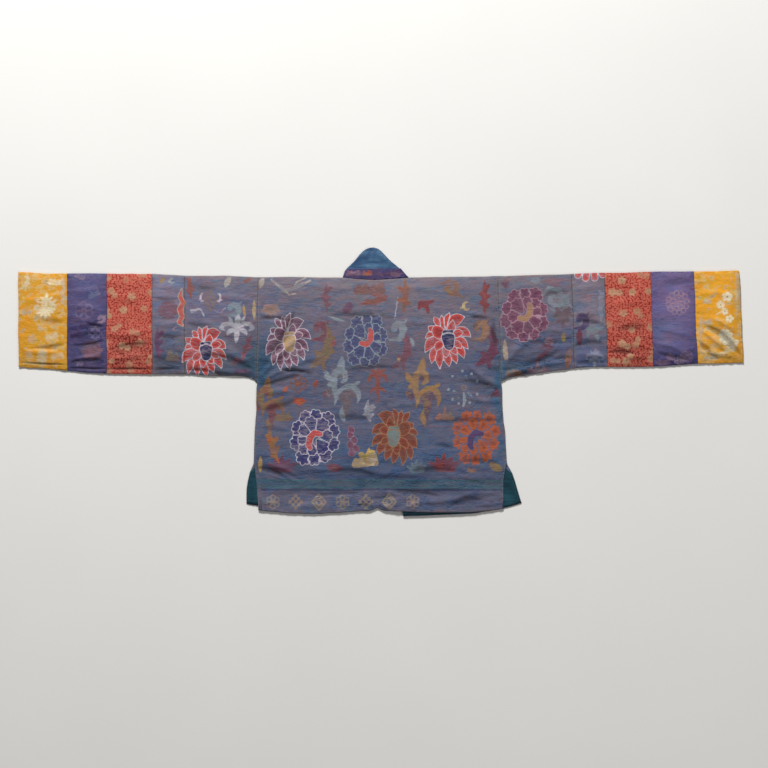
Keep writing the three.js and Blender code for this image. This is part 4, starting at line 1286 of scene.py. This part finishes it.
def smooth_heights(mesh, points, fixed, rounds):
    """Takes the facets out of the broad faces, leaving the edges where they are."""
    edges = np.empty(len(mesh.edges) * 2, int)
    mesh.edges.foreach_get("vertices", edges)
    a, b = edges.reshape(-1, 2).T
    degree = np.bincount(a, minlength=len(points)) + np.bincount(b, minlength=len(points))
    height = points[:, 2].copy()
    for _ in range(rounds):
        total = np.bincount(a, height[b], len(points)) + np.bincount(b, height[a], len(points))
        smooth = total / degree
        smooth[fixed] = height[fixed]
        height = smooth
    points[:, 2] = height


SMOOTHINGS = 26  # rounds of smoothing on the broad faces
TUBE_MIDDLE = (1.3, 2.6)  # heights between which a sleeve's wall turns from its lower to its upper side
UNDER = 0.6  # what lies lower than this is the underside
UNDER_SHIFT = 37  # how far the pattern is moved along on the underside


def cloth_piece(node, pitch, material, paint, lies):
    """One cloth piece: its solid's form, swollen and creased, with its woven colours."""
    mesh = fine_copy(node, pitch)
    points = points_of(mesh) / MM
    steep = steep_points(mesh)
    smooth_heights(mesh, points, steep, SMOOTHINGS)
    x, y, z = points.T
    upper = np.full(len(x), 0.0 if lies == "below" else 1.0)
    if lies == "tube":
        upper = np.clip((z - TUBE_MIDDLE[0]) / (TUBE_MIDDLE[1] - TUBE_MIDDLE[0]), 0, 1)
    inset = outline_distance(x, y, points[steep][:, :2])
    under = z < UNDER
    crease_shade = np.zeros(len(x))
    much = ruffling(x, y)
    if lies != "below":
        creases = CREASE_GAIN * crease_height(x, y)
        small = small_wrinkles(x, y, much)
        # painted shade: the colour is darkened in the troughs of the creases and the small wrinkles, where
        # shade falls
        crease_shade = np.clip(-creases / 4 - small / 7, 0, CREASE_SHADE_MOST) * upper
        puff = PUFF * (1 - np.exp(-inset / PUFF_REACH)) * (FLAT_PUFF if lies == "lining" else 1.0)
        free = 1 - np.exp(-((inset / FREE) ** 2))
        pucker = PUCKER * np.exp(-inset / PUCKER_REACH) * (soft_noise(x, y, 6, 6, 41) + 0.4)
        swell = puff + creases * (0.25 + 0.75 * free) + small * (0.3 + 0.7 * free)
        swell = np.maximum(swell + pucker, DEEPEST if lies == "tube" else 0.0)
        z = z + swell * upper
    if paint:
        across = np.where(under & (lies in ("tube", "below")), -x + UNDER_SHIFT, x)
        paint(mesh, across, y, node, WEAR * np.exp(-inset / WORN))
    write_values(mesh, "crease_shade", "FLOAT", "value", crease_shade)
    write_values(mesh, "ruffled", "FLOAT", "value", 0.7 * much * upper)
    along, up = sway(x, y)
    moved = np.stack([x + along, y + up, z], 1) * MM
    mesh.vertices.foreach_set("co", moved.ravel())
    mesh.polygons.foreach_set("use_smooth", np.ones(len(mesh.polygons), bool))
    mesh.materials.clear()
    mesh.materials.append(material)
    mesh.update()
    piece = add_object(node + "_cloth", mesh)
    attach(piece, "root")
    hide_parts(node)
    return piece, moved[steep]


# ---------------- hand stitches
# Rows of stitches: piece, axis they run along (0 or 1), from, to, side of the piece (-1 or 1) and distance
# from its edge.
STITCHES = table("""
back 0 -286 292 -1 6, sleeve_yellow_left 1 54 268 -1 6, sleeve_yellow_right 1 70 274 1 6
sleeve_yellow_left 0 -898 -790 -1 10, sleeve_purple_left 0 -776 -692 -1 9
sleeve_red_left 0 -678 -578 -1 9, sleeve_strip_left 0 -564 -496 -1 9, collar_lining 0 -56 32 1 5
collar_band 0 -80 48 1 4, lining_left 1 -296 -232 -1 5, lining_right 1 -290 -232 1 5
""")
LINE_STEP = 5.0  # mm between the points of a line of stitches
STITCH = {"Spacing": 0.0058, "Length": 0.0034, "Thickness": 0.00045, "Sink": 0.00012}  # metres


def stitch_group(material):
    """Short threads along a line, as one node group with named inputs."""
    group = bpy.data.node_groups.new("hand_stitches", "GeometryNodeTree")
    new_socket = group.interface.new_socket
    new_socket("Line", in_out="INPUT", socket_type="NodeSocketGeometry")
    sockets = {}
    for name in STITCH:
        sockets[name] = new_socket(name, in_out="INPUT", socket_type="NodeSocketFloat").identifier
    new_socket("Stitches", in_out="OUTPUT", socket_type="NodeSocketGeometry")
    nodes = Nodes(group)
    given = nodes.add("NodeGroupInput")
    curve = nodes.add("GeometryNodeMeshToCurve", {"Mesh": given.out("Line")})
    inputs = {"Curve": curve, "Length": given.out("Spacing")}
    even = nodes.add("GeometryNodeResampleCurve", inputs, mode="LENGTH")
    along = nodes.add("GeometryNodeInputTangent")
    turn = nodes.add("FunctionNodeAlignRotationToVector", {"Vector": along}, axis="X")
    vary = nodes.add("FunctionNodeRandomValue", {2: 0.75, 3: 1.2, "Seed": 7}, data_type="FLOAT").out(1)
    thick = given.out("Thickness")
    size = nodes.add("ShaderNodeCombineXYZ", [given.out("Length") * vary, thick, thick])
    bead = nodes.add("GeometryNodeMeshUVSphere", {"Segments": 6, "Rings": 4, "Radius": 0.5})
    inputs = {"Points": even, "Instance": bead, "Rotation": turn, "Scale": size}
    threads = nodes.add("GeometryNodeInstanceOnPoints", inputs)
    drop = nodes.add("ShaderNodeCombineXYZ", {2: given.out("Sink") * -1.0})
    sunk = nodes.add("GeometryNodeSetPosition", {"Geometry": threads, "Offset": drop})
    real = nodes.add("GeometryNodeRealizeInstances", {"Geometry": sunk})
    dyed_threads = nodes.add("GeometryNodeSetMaterial", {"Geometry": real, "Material": material})
    nodes.add("NodeGroupOutput", [dyed_threads])
    return group, sockets


def edge_line(piece, edge, axis, start, end, side, inset):
    """A line on a piece's upper face that keeps its distance from one edge; in metres."""
    tree = BVHTree.FromObject(piece, bpy.context.evaluated_depsgraph_get())
    axis = int(axis)
    line = []
    for at in np.arange(start, end, LINE_STEP) * MM:
        near = edge[np.abs(edge[:, axis] - at) < LINE_STEP * MM]
        if not len(near):
            continue
        far = side * (side * near[:, 1 - axis]).max() - side * inset * MM
        place = (at, far) if axis == 0 else (far, at)
        hit = tree.ray_cast(Vector((*place, 0.1)), Vector((0, 0, -1)))[0]
        if hit:
            line.append(hit)
    return line


def make_stitches(pieces, material):
    group, sockets = stitch_group(material)
    points, edges = [], []
    for node, *row in STITCHES:
        line = edge_line(*pieces[node], *row)
        edges += [(len(points) + i, len(points) + i + 1) for i in range(len(line) - 1)]
        points += line
    mesh = bpy.data.meshes.new("stitch_lines")
    mesh.from_pydata(points, edges, [])
    lines = add_object("stitch_lines", mesh)
    modifier = lines.modifiers.new("stitches", "NODES")
    modifier.node_group = group
    for name, value in STITCH.items():
        modifier[sockets[name]] = value
    bpy.context.view_layer.update()
    shown = lines.evaluated_get(bpy.context.evaluated_depsgraph_get())
    threads = add_object("stitches", bpy.data.meshes.new_from_object(shown))
    bpy.data.objects.remove(lines)
    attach(threads, "root")


# ---------------- the whole jacket
PITCH = {"fine": 3.1, "band": 2.1, "rough": 8.0}  # mm between a mesh's points
# The pieces without the sleeves: node, pitch, silk and how it lies: over the others, with all its folds,
# as a lining, which swells less, or below, where it keeps its solid's form.
PIECES = table("""
back fine slate over, front_left rough slate below, front_right rough slate below
lining_left rough teal below, lining_right rough teal below, collar_front rough violet below
collar_lining band blue lining, collar_band band violet lining
""")
# The stretches of a sleeve, from the armhole to the cuff: name, pitch and silk.
SLEEVE = table("upper fine slate, strip fine slate, red band red, purple band purple, yellow band yellow")
# Share of its box that a piece's cut fills, where the cut isn't close to a rectangle.
CUT_SHARE = {"collar_front": 0.55, "collar_lining": 0.55, "collar_band": 0.85}
# What a piece lies on, where it isn't the floor.
RESTS_ON = {
    "front_right": ("front_left",),
    "lining_left": ("front_left",),
    "lining_right": ("front_right",),
    "back": ("lining_left", "lining_right"),
    "collar_lining": ("collar_front",),
    "collar_band": ("collar_lining",),
}


def floor():
    bpy.ops.mesh.primitive_plane_add(size=FLOOR_SIZE, location=(0, 0, FLOOR_HEIGHT))
    plane = bpy.context.active_object
    plane.name = "floor"
    plane.data.materials.append(floor_material())


def make_silks():
    """Each silk's material, how it is painted and its slot."""
    purple = paint_band(PURPLE_FIGURES, "#524a74", PURPLE_PATCHES)
    yellow = paint_band(YELLOW_FIGURES, "#e09c2a", YELLOW_PATCHES)
    violet = paint_band(COLLAR_FIGURES, "#473e66", COLLAR_PATCHES)
    red = paint_band(red_blossoms(), "#bb4034", RED_PATCHES)
    scroll_silk = figured_silk("red_scroll_silk", 0.55, 0.35, 0.6, 1.0, small_scroll)
    damask = figured_silk("purple_damask", 0.46, 0.6, 0.75, 1.4, tone_on_tone)
    satin = figured_silk("yellow_satin", 0.42, 0.45, 0.55, 1.6, pale_mottle)
    collar_lining = plain_silk("collar_lining_silk", "#2f4869", "#446680", 0.5)
    return {
        "slate": (figured_silk("slate_brocade", 0.58, 0.9, 0.8), paint_main, "main_brocade"),
        "red": (scroll_silk, red, "red_brocade"),
        "purple": (damask, purple, "purple_damask"),
        "yellow": (satin, yellow, "yellow_satin"),
        "violet": (figured_silk("violet_brocade", 0.52, 0.9, 0.6, 1.8), violet, "collar_brocade"),
        "teal": (plain_silk("blue_green_lining", "#13303a", "#1d4754", 0.5), None, "teal_lining"),
        "blue": (collar_lining, None, "teal_lining"),
    }


def main():
    make_camera()
    make_lamps()
    silks = make_silks()
    pitches = PITCH
    tubes = [[f"sleeve_{name}_{side}", *row, "tube"] for side in ("left", "right") for name, *row in SLEEVE]
    pieces = {}
    for node, pitch, silk, lies in PIECES + tubes:
        material, paint, slot = silks[silk]
        piece, edge = cloth_piece(node, pitches[pitch], material, paint, lies)
        pieces[node] = (piece, edge)
        low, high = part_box(node)
        width, length = high.x - low.x, high.y - low.y
        flat = (2 * length, width) if lies == "tube" else (width, length)
        area = CUT_SHARE[node] * flat[0] * flat[1] if node in CUT_SHARE else None
        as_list(RESTS_ON.get(node, ()))
    make_stitches(pieces, thread_material())
    floor()


main()
